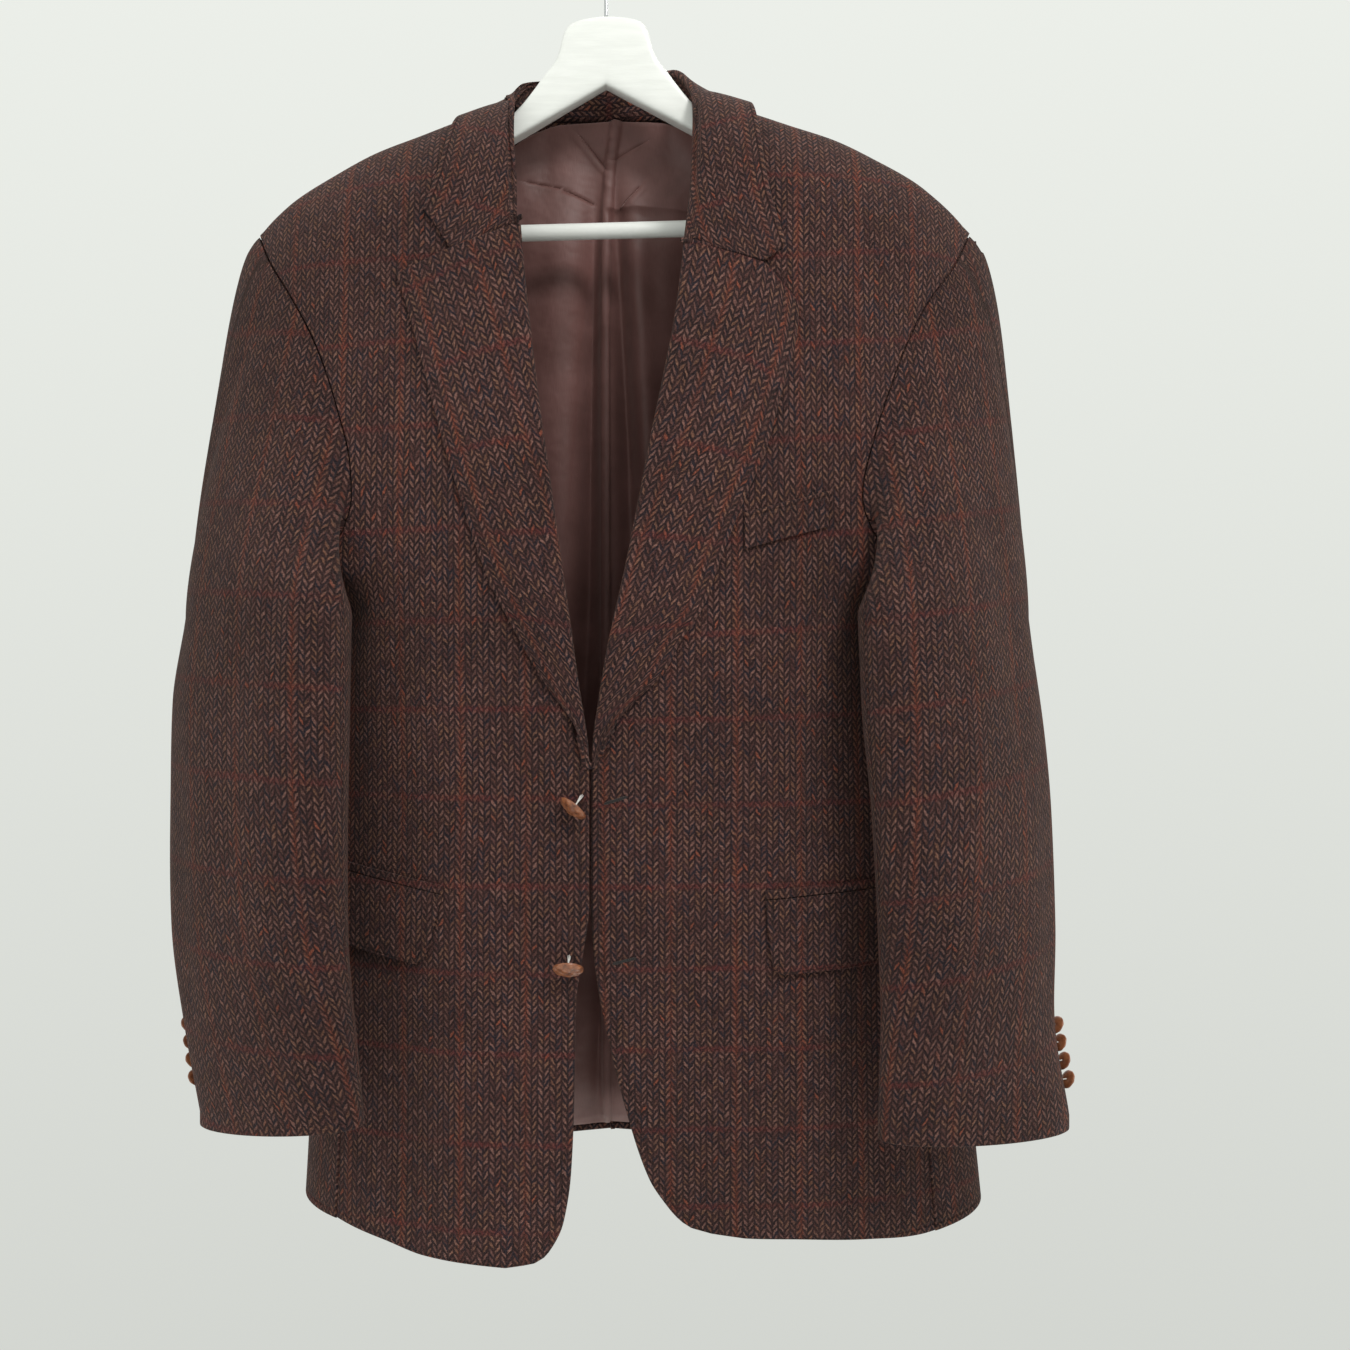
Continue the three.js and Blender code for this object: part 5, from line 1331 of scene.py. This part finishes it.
def button_profile(radius, thickness, shares):
    """Radius and height of each ring: a dome, then the rim and the flat back."""
    rim = thickness * 0.21
    rows = []
    for share in shares:
        if share < DOME_SHARE:
            angle = share / DOME_SHARE * DOME
            rise = (math.cos(angle) - math.cos(DOME)) / (1 - math.cos(DOME))
            rows.append((radius * math.sin(angle) / math.sin(DOME) * 0.96, thickness * (0.42 + 0.58 * rise)))
        else:
            angle = (share - DOME_SHARE) / (1 - DOME_SHARE) * math.pi
            reach = radius * (0.96 - 0.6 * max(0, (share - 0.8) / 0.2))
            rows.append((reach + rim * 0.2 * math.sin(angle), rim + rim * math.cos(angle)))
    return np.array(rows).T[..., None]


def leather_button(node, radius, thickness, seat, facing, relief, strip, spin):
    rings, sides = 26, 56
    shares = np.linspace(0, 1, rings)
    r, y = button_profile(radius, thickness, shares)
    theta = np.linspace(0, 2 * math.pi, sides, endpoint=False)[None]
    covered = shares[:, None] < CROWN_SHARE
    crown = plait(r * np.cos(theta + spin), r * np.sin(theta + spin), strip) * covered
    height = y + relief * (crown - 0.6) * covered
    local = np.stack([r * np.cos(theta), height, r * np.sin(theta)], -1).reshape(-1, 3)
    axis = unit(np.asarray(facing, float))
    first = unit(np.cross(axis, [0.0, 0.2, 1.0]))
    second = np.cross(axis, first)
    points = seat + local[:, :1] * first + local[:, 1:2] * axis + local[:, 2:] * second
    points = np.concatenate([points, [seat + axis * (thickness + relief * 0.1), seat]])
    top, bottom, last = rings * sides, rings * sides + 1, (rings - 1) * sides
    faces = quads_of(rings, sides)
    faces += [(top, (j + 1) % sides, j) for j in range(sides)]
    faces += [(bottom, last + j, last + (j + 1) % sides) for j in range(sides)]
    name = node.replace("front_button", "button").replace("cuff_button", "button_cuff")
    obj = new_object(name, points, faces)
    add_values(obj.data, "crown", np.append(np.where(covered, crown, 0.6).ravel(), [0.8, 0.3]))
    finish_piece(obj, leather, "button_leather", node)


def strands(start, end, spread, count, radius):
    """Thread strands that run from the cloth to the back of a button."""
    made = []
    for i in range(count):
        angle = 2 * math.pi * i / count
        shift = np.array([math.cos(angle), 0.3 * math.sin(angle), math.sin(angle)]) * spread
        middle = (start + end) / 2 + shift * 0.4
        upper, lower = (start + middle) / 2 + shift * 0.6, (middle + end) / 2
        made.append(tube([start + shift, upper, middle, lower, end + shift * 0.5], radius, 6))
    return made


FRONT_BUTTONS = {
    "upper": (17, -630, 13, -624, 11, (-0.6, -0.35, -0.72)),
    "lower": (22, -740, 22, -735, 10.5, (0, -0.53, -0.85)),
}
for name, (x, z, thread_x, thread_z, out, facing) in FRONT_BUTTONS.items():
    seat = on_front("left", x, z, 0.0) - np.array([0, out, 0])
    leather_button(f"front_button_{name}", 10.8, 6.0, seat, facing, 1.1, 6.4, 0.6)
    sewn = on_front("left", thread_x, thread_z, 0.1)
    thread = join_tubes(f"thread_{name}", strands(sewn, seat, 0.9, 5, 0.32))
    finish_piece(thread, white_thread, "button_leather")

CUFF_TURN = {"left": -4.0, "right": -2.0}
CUFF_BUTTON_Z, CUFF_BUTTON_STEP, CUFF_BUTTON_LEAN = -789.0, 12, math.radians(26)
CUFF_THREAD = 5.6  # from the sleeve to the back of a cuff button
for side in SIDES:
    tubes = []
    for i in range(4):
        def beside(turn, z):
            return sleeve_section(side, CUFF_TURN[side] + turn, CUFF_BUTTON_Z - CUFF_BUTTON_STEP * i + z)

        normal = unit(np.cross(beside(1, 0) - beside(-1, 0), beside(0, -1) - beside(0, 1))) * SIDES[side]
        facing = normal * math.cos(CUFF_BUTTON_LEAN) + np.array([0, 0, -math.sin(CUFF_BUTTON_LEAN)])
        seat = beside(0, 0) + normal * CUFF_THREAD
        leather_button(f"cuff_button_{side}_{i + 1}", 6.7, 3.4, seat, facing, 0.6, 4.0, 0.5 + 0.4 * i)
        tubes += strands(beside(0, 0) + normal * 0.2, seat, 0.6, 3, 0.25)
    finish_piece(join_tubes(f"thread_cuff_{side}", tubes), white_thread, "button_leather")

# Buttonholes: a slit with its edges worked over in brown thread.
BUTTONHOLES = {"upper": (2.0, -630.0, 18.0, -625.0), "lower": (7.6, -741.7, 24.0, -737.6)}
STITCHES = 44


def blunt_ends(angle):
    """Cosine, held near its ends, so that the buttonhole is a long round and not an ellipse."""
    return np.sign(np.cos(angle)) * np.abs(np.cos(angle)) ** 0.6


def buttonhole(name, start, end):
    way = unit(end - start)
    cross = np.array([-way[1], way[0]])
    centre, half = (start + end) / 2, np.linalg.norm(end - start) / 2
    angles = np.linspace(0, 2 * math.pi, 61)
    flat = centre + np.outer(blunt_ends(angles) * half, way) + np.outer(np.sin(angles) * 0.65, cross)
    ring = on_front("right", flat[:, 0], flat[:, 1], np.full(len(flat), 0.35))
    worked = [tube(ring, 0.3, 8)]
    for angle in (np.arange(STITCHES) + 0.5) / STITCHES * 2 * math.pi:
        place = centre + way * half * blunt_ends(angle)
        inner, outer = (place + cross * math.sin(angle) * reach for reach in (0.35, 1.15))
        path = [
            on_front("right", *lerp(inner, outer, k), 0.3 + 0.3 * math.sin(math.pi * k))
            for k in (0, 0.25, 0.5, 0.75, 1)
        ]
        worked.append(tube(path, 0.22, 5))
    finish_piece(join_tubes(f"buttonhole_{name}", worked), brown_thread, "tweed")
    slit = [on_front("right", *lerp(start, end, k), 0.05) for k in np.linspace(0.03, 0.97, 12)]
    finish_piece(join_tubes(f"slit_{name}", [tube(slit, 0.55, 6)]), slit_shadow, "tweed")


for name, ends in BUTTONHOLES.items():
    buttonhole(name, np.array(ends[:2]), np.array(ends[2:]))


# ---- Hanger ----
HANGER_TOP = [
    (0, -55), (15, -56.5), (26, -60), (31, -67), (34, -79), (38, -88), (45, -97), (53, -108), (62, -119),
    (72, -128), (84, -132), (105, -136),
]
NOTCH_Z, HANGER_SLOPE, HANGER_HALF, HANGER_SEAT = -106.0, 0.56, 8.0, 5.0
SOCKET_X, SOCKET_Z, END_X, TIP_X = 178.0, -223.0, 200.0, 213.0
BAR_Z, BAR_RADIUS = -212.0, 6.0
HOOK_WIRE, HOOK_LOOP, HOOK_TURNS, STEM_FOOT = 1.5, 17.0, (-150, 112), -54.4
yoke = column(HANGER_TOP, 1)


def hanger_wood():
    half_x = np.unique(np.concatenate([
        np.linspace(0, 120, 81), np.linspace(120, SOCKET_X, 24), [SOCKET_X + 0.8],
        np.linspace(SOCKET_X + 2, END_X, 9),
        END_X + (TIP_X - END_X) * np.sin(np.linspace(0, math.pi / 2, 12)),
    ]))
    xs = np.concatenate([-half_x[:0:-1], half_x])
    sides = 48
    rim = np.linspace(0, 2 * math.pi, sides, endpoint=False)
    away = np.abs(xs)
    rounded = 14 * (np.clip(away - END_X, 0, None) / (TIP_X - END_X)) ** 2
    top = np.where(away < 105, yoke(away), shoulder_line(away) - HANGER_SEAT) - rounded
    bottom = np.where(away > SOCKET_X, SOCKET_Z, NOTCH_Z - HANGER_SLOPE * away) + rounded
    middle, half = ((top + bottom) / 2)[:, None], ((top - bottom) / 2)[:, None]
    y = HANGER_HALF * np.sign(np.sin(rim)) * np.abs(np.sin(rim)) ** 0.30
    z = middle + half * (np.sign(np.cos(rim)) * np.abs(np.cos(rim)) ** 0.42)[None]
    points = pack(xs[:, None], y[None], z + xs[:, None] * TILT).reshape(-1, 3)
    faces = quads_of(len(xs), sides)
    last = (len(xs) - 1) * sides
    faces.append(tuple(reversed(range(sides))))
    faces.append(tuple(last + j for j in range(sides)))
    finish_piece(new_object("hanger_wood", points, faces), paint, "hanger_paint", "hanger_shoulder")


def hanger_bar():
    x = np.linspace(-SOCKET_X + 0.6, SOCKET_X - 0.6, 60)
    bar = join_tubes("hanger_rod", [tube(pack(x, 0, BAR_Z + x * TILT), BAR_RADIUS, 40)])
    finish_piece(bar, paint, "hanger_paint", "hanger_bar")


def hanger_hook():
    """A stem, a bend off it and a round loop."""
    centre_z = HOOK_WIRE - HOOK_LOOP
    turns = np.radians(np.linspace(*HOOK_TURNS, 60))
    loop = pack(HOOK_LOOP * np.sin(turns), 0, centre_z + HOOK_LOOP * np.cos(turns))
    stem = pack(0, 0, np.linspace(STEM_FOOT, centre_z - HOOK_LOOP - 8, 8))
    k = np.linspace(0, 1, 9)[1:-1, None]
    start, leave = stem[-1], loop[0]
    bend = start * (1 - k) ** 2 + 2 * (start + np.array([0, 0, 5.0])) * k * (1 - k) + leave * k**2
    hook = join_tubes("hanger_wire", [tube(np.concatenate([stem, bend, loop]), HOOK_WIRE, 16)])
    finish_piece(hook, steel, "hook_steel", "hanger_hook")


hanger_wood()
hanger_bar()
hanger_hook()

# ---- Camera, light and floor ----
scene = bpy.context.scene
scene.view_settings.view_transform = "Standard"
camera_data = bpy.data.cameras.new("camera")
camera_data.lens, camera_data.sensor_width = 39.05, 36.0
camera = bpy.data.objects.new("camera", camera_data)
camera.location = (0.051, -1.085, -0.541)
camera.rotation_euler = (math.radians(90), 0, 0)
scene.collection.objects.link(camera)
scene.camera = camera


def area_light(name, place, aim, size, power, color):
    data = bpy.data.lights.new(name, "AREA")
    data.shape, data.size, data.energy, data.color = "DISK", size, power, color
    obj = bpy.data.objects.new(name, data)
    scene.collection.objects.link(obj)
    obj.location = place
    way = np.array(aim, float) - np.array(place, float)
    pitch, turn = math.atan2(math.hypot(way[0], way[1]), -way[2]), math.atan2(way[1], way[0]) - math.pi / 2
    obj.rotation_euler = (pitch, 0, turn)


area_light("key", (1.2, -1.9, 1.3), (0, 0, -0.5), 0.8, 36, (1.0, 0.99, 0.97))
area_light("fill", (-1.8, -1.6, 0.1), (0, 0, -0.5), 1.4, 4, (0.94, 0.97, 1.0))
area_light("back", (0.3, 2.2, 1.2), (0, 0, -0.5), 1.6, 22, (1.0, 1.0, 1.0))
world = bpy.data.worlds.new("pale_room")
world.use_nodes = True
room = world.node_tree
way_up = room.nodes.new("ShaderNodeSeparateXYZ")
room.links.new(room.nodes.new("ShaderNodeTexCoord").outputs["Generated"], way_up.inputs[0])
lift = room.nodes.new("ShaderNodeMapRange")
room.links.new(way_up.outputs[2], lift.inputs["Value"])
for socket, value in (("From Min", -0.6), ("From Max", 0.6), ("To Min", 0.80), ("To Max", 1.16)):
    lift.inputs[socket].default_value = value
room.nodes["Background"].inputs["Color"].default_value = (0.760, 0.782, 0.740, 1)
room.links.new(lift.outputs[0], room.nodes["Background"].inputs["Strength"])
scene.world = world

floor_mesh = bpy.data.meshes.new("floor")
around = np.linspace(0, 2 * math.pi, 96, endpoint=False)
floor_points = np.stack([1.7 * np.cos(around), 1.7 * np.sin(around), np.full(96, -1.9)], -1)
floor_mesh.from_pydata(floor_points.tolist(), [], [tuple(range(96))])
floor = bpy.data.objects.new("floor", floor_mesh)
scene.collection.objects.link(floor)
floor_look = Nodes("pale_floor")
floor_fleck = floor_look.noise(floor_look.position(), 4.0)
floor.data.materials.append(floor_look.finish(
    floor_look.mix(floor_fleck, (0.74, 0.74, 0.73), (0.78, 0.78, 0.77)), 0.7,
))
